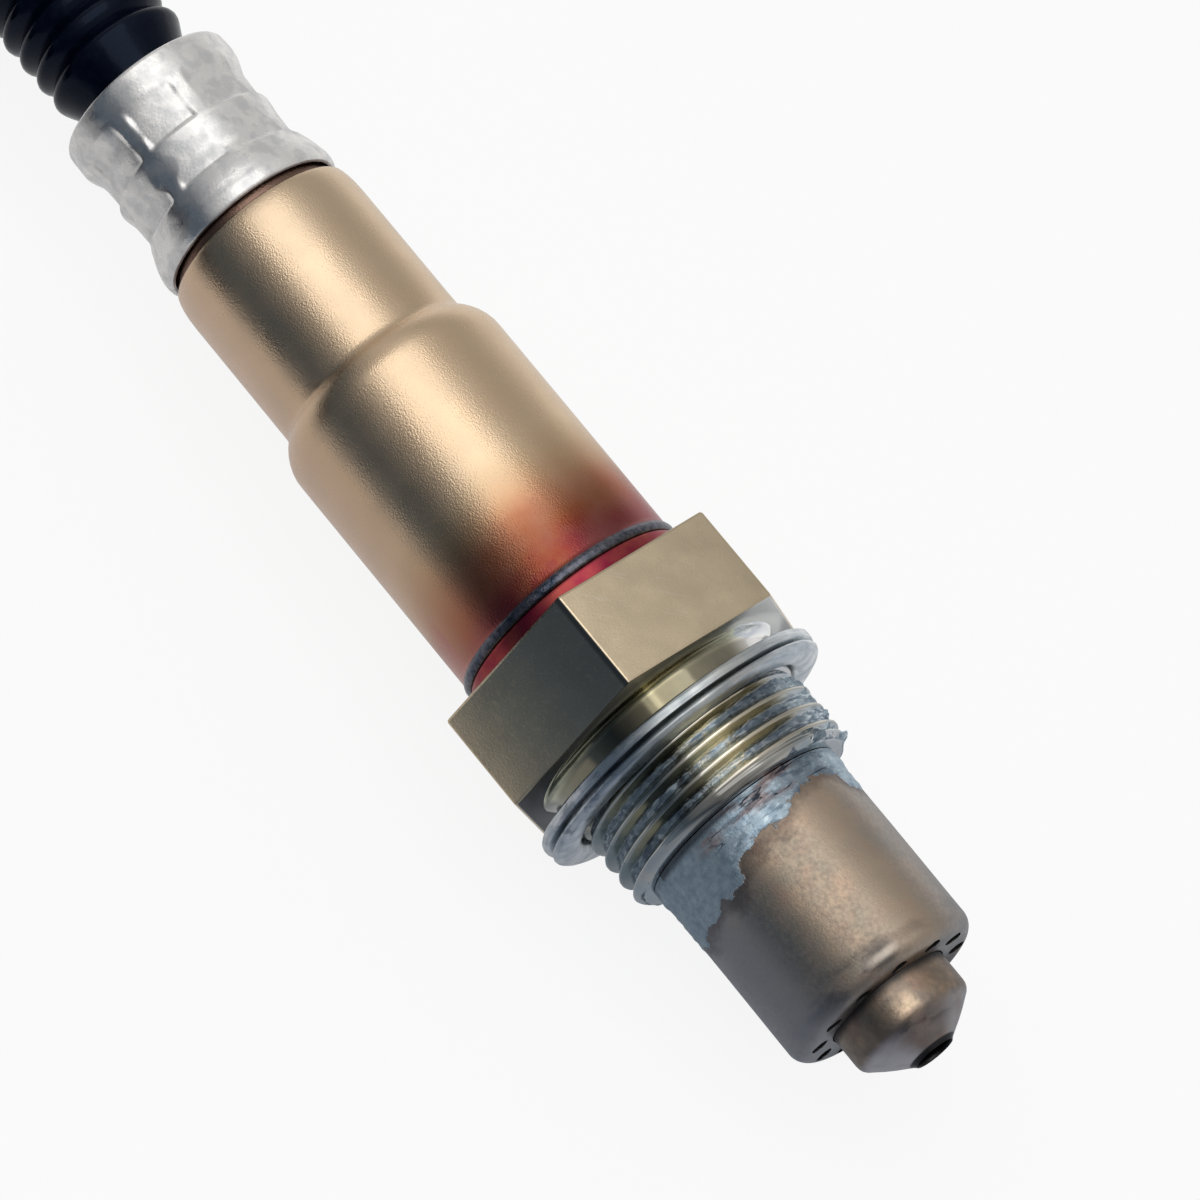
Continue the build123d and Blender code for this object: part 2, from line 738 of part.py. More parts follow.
# Rear cap with a spigot pushed into the sheath's end.
with BuildPart() as connector_cap:
    with BuildSketch(plug_section(face_gap)):
        with Locations((0, (cap_back_height - plug_height) / 2)):
            RectangleRounded(cap_back_width, cap_back_height, 4.0)
    with BuildSketch(plug_section(cap_length * 0.75)):
        RectangleRounded(plug_width - 0.8, plug_height, plug_corner)
    loft()
    with BuildSketch(plug_section(cap_length * 0.75)):
        RectangleRounded(plug_width - 0.8, plug_height, plug_corner)
    extrude(amount=cap_length * 0.25)
    with BuildSketch(plug_face.offset(-cap_spigot_length)):
        Circle(cap_spigot_radius)
    extrude(amount=cap_spigot_length + cap_wall)
    with BuildSketch(plug_section(cap_length)):
        RectangleRounded(seal_width, seal_height, 1.0)
    extrude(amount=-(cap_length - 2 * cap_wall), mode=Mode.SUBTRACT)
    with BuildSketch(plug_face.offset(-cap_spigot_length)):
        Circle(cap_spigot_bore)
    extrude(amount=cap_spigot_length + 3 * cap_wall, mode=Mode.SUBTRACT)
connector_cap.part.label = "connector_cap"
export_step(connector_cap.part, "parts/connector_cap.step")

# Connector housing: collar, stepped nose, latch, ribs, and one cavity for each terminal.
housing_start = plug_start + face_gap
ring_seal_start = collar_end + 1.0
with BuildPart() as connector_housing:
    with BuildSketch(plug_section(housing_start)):
        RectangleRounded(plug_width, plug_height, plug_corner)
    extrude(amount=collar_end - housing_start)
    with BuildSketch(plug_section(collar_end)):
        RectangleRounded(plug_nose_width, plug_nose_height, plug_corner * 0.8)
    extrude(amount=plug_end - collar_end)
    latch_front = plug_end - latch_setback
    latch_side = Plane(
        origin=tail_end + Vector(0, 0, plug_middle + plug_nose_height / 2),
        x_dir=heading,
        z_dir=plug_face.x_dir,
    )
    with BuildSketch(latch_side):
        with BuildLine():
            Polyline(
                (latch_front, -0.5),
                (latch_front, 0.4),
                (latch_front - latch_length + 1.2, latch_height),
                (latch_front - latch_length, latch_height),
                (latch_front - latch_length, -0.5),
                close=True,
            )
        make_face()
    extrude(amount=latch_width / 2, both=True)
    for y in (-1, 1):
        with BuildSketch(plug_section(collar_end)):
            with Locations((y * plug_nose_width / 3.4, plug_nose_height / 2)):
                Rectangle(rib_width, 2 * rib_height)
        extrude(amount=plug_end - collar_end - lock_depth - 0.4)
    with BuildSketch(plug_section(ring_seal_start)):
        RectangleRounded(plug_nose_width + 2, plug_nose_height + 2, plug_corner)
        RectangleRounded(
            plug_nose_width - 2 * ring_seal_depth,
            plug_nose_height - 2 * ring_seal_depth,
            plug_corner * 0.8 - ring_seal_depth / 2,
            mode=Mode.SUBTRACT,
        )
    extrude(amount=ring_seal_length, mode=Mode.SUBTRACT)
    for x in (0.25, 0.5, 0.75):
        with BuildSketch(plug_section(housing_start + plug_collar_length * x)):
            RectangleRounded(plug_width + 2, plug_height + 2, plug_corner)
            RectangleRounded(plug_width - 0.8, plug_height - 0.8, plug_corner, mode=Mode.SUBTRACT)
        extrude(amount=0.8, mode=Mode.SUBTRACT)
    with BuildSketch(plug_section(housing_start)):
        RectangleRounded(seal_width, seal_height, 1.0)
    extrude(amount=wire_seal_length + 2 * face_gap, mode=Mode.SUBTRACT)
    with BuildSketch(plug_section(housing_start)):
        with Locations(*[(y, 0) for y in way_centres]):
            Rectangle(way_width + 2 * slide_gap, way_height + 2 * slide_gap)
            Circle(barrel_radius + slide_gap)
    extrude(amount=plug_length, mode=Mode.SUBTRACT)
    with BuildSketch(plug_section(plug_end)):
        Rectangle(plug_nose_width - 2 * lock_margin, plug_nose_height - 2 * lock_margin)
    extrude(amount=-lock_depth, mode=Mode.SUBTRACT)
connector_housing.part.label = "connector_housing"
export_step(connector_housing.part, "parts/connector_housing.step")

# Rubber ring seal in the nose's groove.
with BuildPart() as connector_seal:
    with BuildSketch(plug_section(ring_seal_start + face_gap)):
        RectangleRounded(
            plug_nose_width + 2 * ring_seal_proud,
            plug_nose_height + 2 * ring_seal_proud,
            plug_corner,
        )
        RectangleRounded(
            plug_nose_width - 2 * ring_seal_depth + 2 * slide_gap,
            plug_nose_height - 2 * ring_seal_depth + 2 * slide_gap,
            plug_corner * 0.8 - ring_seal_depth / 2,
            mode=Mode.SUBTRACT,
        )
    extrude(amount=ring_seal_length - 2 * face_gap)
    with BuildSketch(plug_section(ring_seal_start + ring_seal_length / 2 - 0.25)):
        RectangleRounded(plug_nose_width + 2, plug_nose_height + 2, plug_corner)
        RectangleRounded(plug_nose_width, plug_nose_height, plug_corner * 0.8, mode=Mode.SUBTRACT)
    extrude(amount=0.5, mode=Mode.SUBTRACT)
connector_seal.part.label = "connector_seal"
export_step(connector_seal.part, "parts/connector_seal.step")

# Terminal lock: a slotted plate pressed into the connector's face.
with BuildPart() as terminal_lock:
    with BuildSketch(plug_section(plug_end - lock_depth + face_gap)):
        Rectangle(
            plug_nose_width - 2 * lock_margin - 2 * slide_gap,
            plug_nose_height - 2 * lock_margin - 2 * slide_gap,
        )
        with Locations(*[(y, 0) for y in way_centres]):
            Rectangle(way_width - 0.3, way_height - 0.3, mode=Mode.SUBTRACT)
    extrude(amount=lock_depth - face_gap)
terminal_lock.part.label = "terminal_lock"
export_step(terminal_lock.part, "parts/terminal_lock.step")

# Mat seal round the wires at the back of the connector.
with BuildPart() as wire_seal:
    with BuildSketch(plug_section(housing_start + face_gap)):
        RectangleRounded(seal_width - 2 * slide_gap, seal_height - 2 * slide_gap, 1.0)
        with Locations(*[(y, 0) for y in way_centres]):
            Circle(plug_wire_radius + wire_gap, mode=Mode.SUBTRACT)
    extrude(amount=wire_seal_length)
wire_seal.part.label = "wire_seal"
export_step(wire_seal.part, "parts/wire_seal.step")

# Four socket terminals, each with a barrel on its wire.
barrel_start = housing_start + wire_seal_length + 3 * face_gap
terminal_end = plug_end - lock_depth - 2 * face_gap
with BuildPart() as connector_terminals:
    for y in way_centres:
        with BuildSketch(plug_section(barrel_start)):
            with Locations((y, 0)):
                Circle(barrel_radius)
        extrude(amount=barrel_grip + 0.6)
        with BuildSketch(plug_section(terminal_end)):
            with Locations((y, 0)):
                Rectangle(way_width, way_height)
        extrude(amount=-(terminal_end - barrel_start - barrel_grip))
        with BuildSketch(plug_section(terminal_end)):
            with Locations((y, 0)):
                Rectangle(way_width - 0.6, way_height - 0.6)
        extrude(amount=-(terminal_end - barrel_start - barrel_grip - 1.0), mode=Mode.SUBTRACT)
        with BuildSketch(plug_section(barrel_start)):
            with Locations((y, 0)):
                Circle(plug_wire_radius + wire_gap)
        extrude(amount=barrel_grip - 0.6, mode=Mode.SUBTRACT)
connector_terminals.part.label = "connector_terminals"
export_step(connector_terminals.part, "parts/connector_terminals.step")

# Four wires fanning out from the sheath to the terminals.
bundle_places = [
    (plug_bundle_radius * math.cos(math.radians(a)), plug_bundle_radius * math.sin(math.radians(a)))
    for a in (225, 135, 45, 315)
]
fan_start = 2.0
fan_end = plug_start - 1.5
with BuildPart() as connector_wires:
    for way, (y, z) in zip(way_centres, bundle_places):
        side = plug_face.x_dir
        up = Vector(0, 0, 1)
        back = tail_end - heading * (cap_spigot_length - face_gap) + side * y + up * z
        bend_in = tail_end + heading * fan_start + side * y + up * z
        bend_out = tail_end + heading * fan_end + side * way + up * plug_middle
        front = bend_out + heading * (barrel_start + barrel_grip - 1.0 - fan_end)
        with BuildLine():
            lead = FilletPolyline(back, bend_in, bend_out, front, radius=1.5)
        with BuildSketch(Plane(origin=back, z_dir=heading)):
            Circle(plug_wire_radius)
        sweep(path=lead)
connector_wires.part.label = "connector_wires"
export_step(connector_wires.part, "parts/connector_wires.step")
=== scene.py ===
import math
from math import cos, pi, radians, sin, sqrt

import bmesh
import bpy
import numpy as np
from mathutils import Matrix, Vector, noise


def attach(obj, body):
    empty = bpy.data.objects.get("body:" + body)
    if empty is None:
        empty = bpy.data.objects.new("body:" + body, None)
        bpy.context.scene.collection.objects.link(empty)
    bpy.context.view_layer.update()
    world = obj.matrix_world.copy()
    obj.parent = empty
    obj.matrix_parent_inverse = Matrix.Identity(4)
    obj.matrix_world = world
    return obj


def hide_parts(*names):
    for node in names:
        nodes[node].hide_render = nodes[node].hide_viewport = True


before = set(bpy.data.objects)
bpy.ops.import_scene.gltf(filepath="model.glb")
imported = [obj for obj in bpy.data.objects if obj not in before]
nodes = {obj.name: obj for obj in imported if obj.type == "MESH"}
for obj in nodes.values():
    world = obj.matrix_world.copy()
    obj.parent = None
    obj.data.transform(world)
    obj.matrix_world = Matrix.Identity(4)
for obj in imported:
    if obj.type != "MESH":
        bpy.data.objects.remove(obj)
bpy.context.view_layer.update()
mm = 0.001

# The sensor's axis is X, its tip +X. Angles round it run from +Y towards +Z.


# Smooth step from 0 at low to 1 at high, for numbers or arrays.
def ramp(low, high, value):
    t = np.clip((value - low) / (high - low), 0, 1)
    return t * t * (3 - 2 * t)


# Smooth noise from -1 to 1 at a point in millimetres.
def fractal(x, y, z, scale, octaves=3):
    return noise.fractal(Vector((x, y, z)) * scale, 1.0, 2.0, octaves)


# Mesh piece from millimetre vertices, shaded smooth up to an edge angle in degrees.
def solid(name, vertices, faces, sharp):
    mesh = bpy.data.meshes.new(name)
    mesh.from_pydata([tuple(c * mm for c in v) for v in vertices], [], faces)
    edit = bmesh.new()
    edit.from_mesh(mesh)
    bmesh.ops.recalc_face_normals(edit, faces=edit.faces)
    edit.to_mesh(mesh)
    edit.free()
    mesh.polygons.foreach_set("use_smooth", [True] * len(mesh.polygons))
    mesh.set_sharp_from_angle(angle=radians(sharp))
    mesh.update()
    piece = placed(name, mesh)
    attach(piece, "root")
    return piece


def placed(name, data):
    made = bpy.data.objects.new(name, data)
    bpy.context.scene.collection.objects.link(made)
    return made


# The faces between rings of points; the last ring joins the first when closed.
def ringFaces(rings, around, closed=False):
    faces = []
    for i in range(rings if closed else rings - 1):
        a, b = i * around, (i + 1) % rings * around
        for j in range(around):
            k = (j + 1) % around
            faces.append((a + j, a + k, b + k, b + j))
    return faces


# The same open outline with no stretch longer than a step.
def finer(points, step):
    out = []
    for start, end in zip(points, points[1:]):
        a, b = Vector(start), Vector(end)
        parts = max(1, math.ceil((b - a).length / step))
        out += [tuple(a.lerp(b, i / parts)) for i in range(parts)]
    return out + [tuple(points[-1])]


# Piece of revolution about the axis from stations and radii; shape may move its points.
def turned(name, outline, around, shape=None, sharp=32):
    x, r = (np.tile([[point[i]] for point in outline], (1, around)) for i in (0, 1))
    angle = np.tile(np.arange(around) * (2 * pi / around), (len(outline), 1))
    if shape:
        x, r = shape(x, r, angle)
    y, z = r * np.cos(angle), r * np.sin(angle)
    vertices = np.stack([x, y, z], -1).reshape(-1, 3).tolist()
    return solid(name, vertices, ringFaces(len(outline), around, closed=True), sharp)


# Shader helpers. A new node goes into the tree of the sockets that it is given.
def isSocket(value):
    return isinstance(value, bpy.types.NodeSocket)


# Sets a node's input to a number, a colour or another node's output; colours may leave out alpha.
def give(node, key, value):
    if isSocket(value):
        node.id_data.links.new(value, node.inputs[key])
    elif node.inputs[key].type == "RGBA" and len(value) == 3:
        node.inputs[key].default_value = (*value, 1)
    else:
        node.inputs[key].default_value = value


def put(tree, kind, inputs=None, **settings):
    made = tree.nodes.new(kind)
    for key, value in settings.items():
        setattr(made, key, value)
    for key, value in (inputs or {}).items():
        give(made, key, value)
    return made


def treeOf(*values):
    return next(value for value in values if isSocket(value)).id_data


def maths(operation, *values, clamp=False):
    settings = {"operation": operation, "use_clamp": clamp}
    return put(treeOf(*values), "ShaderNodeMath", dict(enumerate(values)), **settings).outputs[0]


def times(first, *others):
    for other in others:
        first = maths("MULTIPLY", first, other)
    return first


def plus(first, *others):
    for other in others:
        first = maths("ADD", first, other)
    return first


def less(a, b):
    return maths("SUBTRACT", a, b)


def inverted(mask):
    return less(1.0, mask)


# Smooth mask from 0 at low to 1 at high.
def ease(value, low, high):
    inputs = {"Value": value, "From Min": low, "From Max": high}
    return put(treeOf(value), "ShaderNodeMapRange", inputs, interpolation_type="SMOOTHSTEP").outputs[0]


# Colour a where the mask is 0, colour b where it is 1, or as much of b as the strength says.
def blend(mask, a, b, strength=1.0):
    if strength != 1.0:
        mask = times(mask, strength)
    inputs = {0: mask, 6: a, 7: b}
    return put(treeOf(mask, a, b), "ShaderNodeMix", inputs, data_type="RGBA").outputs[2]


# A colour times another.
def shade(tone, factor):
    inputs = {0: tone, 1: factor}
    return put(treeOf(tone), "ShaderNodeVectorMath", inputs, operation="MULTIPLY").outputs[0]


# As much of a factor over a tone as the mask shows.
def tinted(tone, mask, factor):
    return shade(tone, blend(mask, (1, 1, 1), factor))


# Layers over a tone: each is its mask, its colour and, where it isn't whole, its strength.
def layered(tone, *layers):
    for mask, *paint in layers:
        tone = blend(mask, tone, *paint)
    return tone


# Colour ramp; each mark is its place and its red, green and blue, or one number for a grey.
def stops(value, *marks):
    made = put(treeOf(value), "ShaderNodeValToRGB", {"Fac": value})
    while len(made.color_ramp.elements) < len(marks):
        made.color_ramp.elements.new(0.5)
    for element, (place, *tone) in zip(made.color_ramp.elements, marks):
        element.position = place
        element.color = (*(tone * 3)[:3], 1)
    return made.outputs[0]


# Node group; an input without a default is a vector, and so is the output Millimetres.
def group(name, inputs, *outputs):
    tree = bpy.data.node_groups.new(name, "ShaderNodeTree")
    for label, value in inputs.items():
        kind = "NodeSocketVector" if value is None else "NodeSocketFloat"
        socket = tree.interface.new_socket(label, in_out="INPUT", socket_type=kind)
        if value is not None:
            socket.default_value = value
    for label in outputs:
        kind = "NodeSocketVector" if label == "Millimetres" else "NodeSocketFloat"
        tree.interface.new_socket(label, in_out="OUTPUT", socket_type=kind)
    return tree, tree.nodes.new("NodeGroupInput").outputs, tree.nodes.new("NodeGroupOutput")


def use(tree, shared, inputs=None):
    made = tree.nodes.new("ShaderNodeGroup")
    made.node_tree = shared
    for key, value in (inputs or {}).items():
        give(made, key, value)
    return made.outputs


def noiseOf(vector, scale, detail):
    inputs = {"Vector": vector, "Scale": scale, "Detail": detail}
    return put(treeOf(vector), "ShaderNodeTexNoise", inputs).outputs[0]


# A place scaled by a number of its own along each axis.
def stretched(place, x, y, z):
    return shade(place, put(treeOf(place), "ShaderNodeCombineXYZ", {0: x, 1: y, 2: z}).outputs[0])


# Place on the part: millimetres, station along the axis, distance from it, turn round it.
placeGroup, _, placeOut = group("partPlace", {}, "Millimetres", "Station", "Radius", "Turn", "Round")
objectPlace = put(placeGroup, "ShaderNodeTexCoord").outputs["Object"]
scaled = put(placeGroup, "ShaderNodeVectorMath", {0: objectPlace, "Scale": 1000.0}, operation="SCALE")
axes = put(placeGroup, "ShaderNodeSeparateXYZ", {0: scaled.outputs[0]}).outputs
give(placeOut, "Millimetres", scaled.outputs[0])
give(placeOut, "Station", axes[0])
give(placeOut, "Radius", maths("SQRT", plus(times(axes[1], axes[1]), times(axes[2], axes[2]))))
turn = maths("ARCTAN2", axes[2], axes[1])
give(placeOut, "Turn", turn)
give(placeOut, "Round", plus(maths("DIVIDE", turn, 2 * pi), 0.5))


# Mask from a level: 0.5 where the level is 0, reaching 0 and 1 half a softness away.
def softened(level, softness):
    return maths("ADD", maths("DIVIDE", level, softness), 0.5, clamp=True)


# Ragged edge across the axis: 0 below the station, 1 above it.
edgeGroup, edgeIn, edgeOut = group(
    "raggedEdge", {"Place": None, "Station": 0.0, "Softness": 1.0, "Reach": 1.0, "Scale": 0.3}, "Mask"
)
wave = noiseOf(edgeIn["Place"], edgeIn["Scale"], 5.0)
x = put(edgeGroup, "ShaderNodeSeparateXYZ", {0: edgeIn["Place"]}).outputs[0]
offset = less(plus(x, times(less(wave, 0.5), edgeIn["Reach"])), edgeIn["Station"])
give(edgeOut, "Mask", softened(offset, edgeIn["Softness"]))

# Streaks: noise drawn out round the axis.
streakGroup, streakIn, streakOut = group(
    "streaks", {"Place": None, "Across": 2.0, "Round": 0.3, "Detail": 3.0}, "Level"
)
drawn = stretched(streakIn["Place"], streakIn["Across"], streakIn["Round"], streakIn["Round"])
give(streakOut, "Level", noiseOf(drawn, 1.0, streakIn["Detail"]))

# Scratches: thin broken lines at a slant to the axis.
scratchGroup, scratchIn, scratchOut = group(
    "scratches", {"Place": None, "Slant": 0.6, "Fineness": 6.0, "Share": 0.7}, "Mask"
)
slant = {"Vector": scratchIn["Place"], "Axis": (0.3, -0.5, 0.8), "Angle": scratchIn["Slant"]}
swung = put(scratchGroup, "ShaderNodeVectorRotate", slant).outputs[0]
cloud = noiseOf(stretched(swung, scratchIn["Fineness"], 0.25, 0.9), 1.0, 1.0)
give(scratchOut, "Mask", ease(cloud, scratchIn["Share"], plus(scratchIn["Share"], 0.03)))

# Blotches: a noise mask of a chosen size, share and softness.
blotchGroup, blotchIn, blotchOut = group(
    "blotches", {"Place": None, "Scale": 1.0, "Share": 0.5, "Softness": 0.1, "Detail": 3.0}, "Mask"
)
cloud = noiseOf(blotchIn["Place"], blotchIn["Scale"], blotchIn["Detail"])
give(blotchOut, "Mask", softened(less(cloud, inverted(blotchIn["Share"])), blotchIn["Softness"]))

# Marks left by turning or drawing: fine lines round the axis, broken along their length.
latheGroup, latheIn, latheOut = group(
    "latheMarks", {"Place": None, "Fineness": 8.0, "Length": 0.25}, "Height"
)
drawn = stretched(latheIn["Place"], latheIn["Fineness"], latheIn["Length"], latheIn["Length"])
give(latheOut, "Height", noiseOf(drawn, 1.0, 3.0))


# New material with its Principled shader and the place on the part; settings are constant values.
def material(name, **settings):
    made = bpy.data.materials.new(name)
    made.use_nodes = True
    shader = made.node_tree.nodes["Principled BSDF"]
    for key, value in settings.items():
        give(shader, key.replace("_", " "), value)
    return made, shader, use(made.node_tree, placeGroup)


# A shared effect at the place on the part.
def effect(shared, place, **inputs):
    where = place["Millimetres"]
    return use(where.id_data, shared, {"Place": where, **inputs})[0]


def patches(place, scale, share, softness, detail=3.0):
    return effect(blotchGroup, place, Scale=scale, Share=share, Softness=softness, Detail=detail)


def streaks(place, across, about, detail):
    return effect(streakGroup, place, Across=across, Round=about, Detail=detail)


def latheMarks(place, fineness, length):
    return effect(latheGroup, place, Fineness=fineness, Length=length)


def noiseAt(place, scale, detail):
    return noiseOf(place["Millimetres"], scale, detail)


# Mask from 0 to 1 between two stations along the axis.
def between(place, low, high):
    return ease(place["Station"], low, high)


# Cosine of the angle from a direction round the axis, or a mask from 0 to 1 between two cosines.
def facing(place, angle, low=None, high=None):
    cosine = maths("COSINE", less(place["Turn"], angle))
    return cosine if low is None else ease(cosine, low, high)


# A tone times a factor that changes round the part.
def shadedRound(tone, place, marks):
    return shade(tone, stops(place["Round"], *marks))


# Depth of the paste, stored on the mesh.
def pasteAt(shader):
    return put(shader.id_data, "ShaderNodeAttribute", attribute_name="paste").outputs["Fac"]


# Bump with its depth in millimetres; a normal from an earlier bump can lie under it.
def bump(shader, height, depth, strength, under=None):
    inputs = {"Height": height, "Distance": depth * mm, "Strength": strength}
    if under:
        inputs["Normal"] = under
    made = put(shader.id_data, "ShaderNodeBump", inputs)
    give(shader, "Normal", made.outputs[0])
    return made.outputs[0]


def dress(piece, made):
    piece.data.materials.clear()
    piece.data.materials.append(made)


# Camera: a long lens over the near side, the axis running from top left to bottom right. It is
# placed by the part's axis and its front as the camera sees them, and by the part's origin.
view = {
    "along": (0.61625, 0.74481, -0.25592),
    "front": (-0.1597, -0.2000, -0.9667),
    "origin": (3.913, 7.95, 477.606),
    "focal": 7106.6,  # in pixels of a picture of this width
    "width": 1200,
    "sensor": 36,
}
tilt = {"cosine": sqrt(0.75), "sine": 0.5}  # 30 degrees off straight down, round the axis
alongView = Vector(view["along"]).normalized()
frontView = Vector(view["front"])
frontView = (frontView - alongView * frontView.dot(alongView)).normalized()
sideView = alongView.cross(frontView)
tiltFront = (0, -tilt["sine"], tilt["cosine"])
tiltSide = (0, -tilt["cosine"], -tilt["sine"])
toView = Matrix((alongView, frontView, sideView)).transposed() @ Matrix(((1, 0, 0), tiltFront, tiltSide))
toPart = toView.inverted()
cameraData = bpy.data.cameras.new("camera")
cameraData.sensor_width = view["sensor"]
cameraData.lens = view["focal"] * view["sensor"] / view["width"]
cameraData.clip_start = 0.01
cameraData.clip_end = 10
camera = placed("camera", cameraData)
turnedOver = toPart @ Matrix(((1, 0, 0), (0, -1, 0), (0, 0, -1)))
camera.matrix_world = Matrix.Translation(toPart @ (Vector(view["origin"]) * -mm)) @ turnedOver.to_4x4()
bpy.context.scene.camera = camera
print("camera at", camera.location)

# Lead: the route's points, then the coil's turns and its tail, as one curve lying at one level.
lead = {"level": -6.2, "coil": (-117, -63.6), "outer": 63.6, "inner": 52.8, "tail": 42.4, "steps": 24}
coilCentre = Vector(lead["coil"])
middleRadius = (lead["outer"] + lead["inner"]) / 2
halfTurnCentre = coilCentre + Vector((0, middleRadius - lead["outer"]))
towardsTail = Vector((cos(2 * pi / 3), sin(2 * pi / 3)))
tailCentre = coilCentre + (lead["inner"] - lead["tail"]) * towardsTail
leadRoute = [(-59.8, 0, 0), (-77, 0, 0), (-101, 0, lead["level"]), (-117, 0, lead["level"])]
for centre, radius, start, sweep, count in (
    (coilCentre, lead["outer"], 90, 180, 8),
    (halfTurnCentre, middleRadius, 270, 180, 8),
    (coilCentre, lead["inner"], 90, 30, 2),
    (tailCentre, lead["tail"], 120, 130, 6),
):
    pitch = radians(sweep / count)
    reach = radius / cos(pitch / 2)
    for k in range(count):
        a = radians(start) + pitch * (k + 0.5)
        leadRoute.append((centre.x + reach * cos(a), centre.y + reach * sin(a), lead["level"]))
tailAngle = radians(250)
tailEnd = tailCentre + lead["tail"] * Vector((cos(tailAngle), sin(tailAngle)))
leadRoute.append((tailEnd.x, tailEnd.y, lead["level"]))
leadCurve = bpy.data.curves.new("leadLine", "CURVE")
leadCurve.dimensions = "3D"
leadCurve.resolution_u = lead["steps"]
line = leadCurve.splines.new("NURBS")
line.points.add(len(leadRoute) - 1)
for point, place in zip(line.points, leadRoute):
    point.co = (*(c * mm for c in place), 1)
line.order_u = 3
line.use_endpoint_u = True
leadLine = placed("leadLine", leadCurve)
evaluated = leadLine.evaluated_get(bpy.context.evaluated_depsgraph_get())
traced = bpy.data.meshes.new_from_object(evaluated)
leadPath = np.array([v.co for v in traced.vertices]) / mm
bpy.data.objects.remove(leadLine)
steps = np.linalg.norm(np.diff(leadPath, axis=0), axis=1)
along = np.concatenate([[0], np.cumsum(steps)])
leadLength = float(along[-1])
print("lead length", round(leadLength, 1))

# Corrugated sheath along the lead, squeezed under the cable tie.
sheath = {
    "start": 4.8,
    "crest": 5.3,
    "valley": 4.6,
    "sharpness": 0.55,
    "pitch": 1.965,
    "firstCrest": 1.0,
    "nearRibs": 36,
}
tie = {"angle": 100, "reach": 14, "squeezed": 4.45, "swell": 0.9, "edges": (1.9, 3.6)}
tieAngle = radians(tie["angle"])
tieOut = Vector((cos(tieAngle), sin(tieAngle), 0))
tieMiddle = Vector((*coilCentre, lead["level"])) + tieOut * middleRadius
tieAcross = Vector((-tieOut.y, tieOut.x, 0))


def sheathRadius(place):
    height = sheath["crest"] - sheath["valley"]
    if place < sheath["firstCrest"]:
        rise = float(ramp(-0.4, sheath["firstCrest"], place))
        return sheath["start"] + (sheath["crest"] - sheath["start"]) * rise
    fromCrest = ((place - sheath["firstCrest"]) / sheath["pitch"]) % 1
    w = 2 * min(fromCrest, 1 - fromCrest)
    return sheath["valley"] + height * (0.5 + 0.5 * cos(pi * w)) ** sheath["sharpness"]


# Tube along the lead from distances and radii, closed at both ends.
def tube(name, places, radii, around):
    vertices = []
    for place, radius in zip(places, radii):
        middle, ahead, behind = (
            Vector([np.interp(place + shift, along, leadPath[:, i]) for i in range(3)])
            for shift in (0, 0.5, -0.5)
        )
        forward = (ahead - behind).normalized()
        side = Vector((0, 0, 1)).cross(forward).normalized()
        up = forward.cross(side)
        near = middle - tieMiddle
        if near.length < tie["reach"]:
            off = abs(near.dot(tieAcross))
            radius = min(radius, tie["squeezed"] + tie["swell"] * float(ramp(*tie["edges"], off)))
        for j in range(around):
            a = 2 * pi * j / around
            vertices.append(middle + (side * cos(a) + up * sin(a)) * radius)
    ends = [tuple(range(around)), tuple((len(places) - 1) * around + j for j in range(around))]
    return solid(name, vertices, ringFaces(len(places), around) + ends, sharp=50)


# Marks across one rib, in half pitches from its crest: many near the sensor, few farther off.
fine = [-0.97, -0.88, -0.72, -0.5, -0.25, 0, 0.25, 0.5, 0.72, 0.88, 0.97, 1]
plain = [-0.86, -0.45, 0, 0.45, 0.86, 1]
nearEnd = sheath["firstCrest"] + (sheath["nearRibs"] + 0.5) * sheath["pitch"]
nearPlaces, farPlaces = [0.02], [nearEnd]
rib = 0
while True:
    crest = sheath["firstCrest"] + rib * sheath["pitch"]
    if crest > leadLength - 1.2:
        break
    marks = fine if rib <= sheath["nearRibs"] else plain
    spots = [crest + w * sheath["pitch"] / 2 for w in marks]
    target = nearPlaces if rib <= sheath["nearRibs"] else farPlaces
    target += [s for s in spots if 0.02 < s < leadLength and s > target[-1] + 1e-4]
    rib += 1
farPlaces.append(leadLength)
sheathPlaces = nearPlaces + farPlaces[1:]
leadSheath = tube("leadSheath", sheathPlaces, [sheathRadius(p) for p in sheathPlaces], 44)
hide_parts("sheath_run", "sheath_coil")
print("sheath made,", rib, "ribs")

# Grommet: collar inside the crimp sleeve, and a spout that flares into the sheath's first rib.
grommetOutline = [
    (-41.9, 0.3), (-41.9, 6.4), (-43.7, 6.4), (-43.7, 4.95), (-55.25, 4.95), (-55.25, 5.6), (-57.0, 5.95),
    (-57.1, 5.9), (-57.15, 4.6), (-57.6, 4.25), (-58.2, 4.24), (-58.7, 4.36), (-59.1, 4.53), (-59.45, 4.71),
    (-59.83, 4.905), (-59.83, 0.3),
]
grommet = turned("grommet", grommetOutline, 96, sharp=60)
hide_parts("wire_grommet")

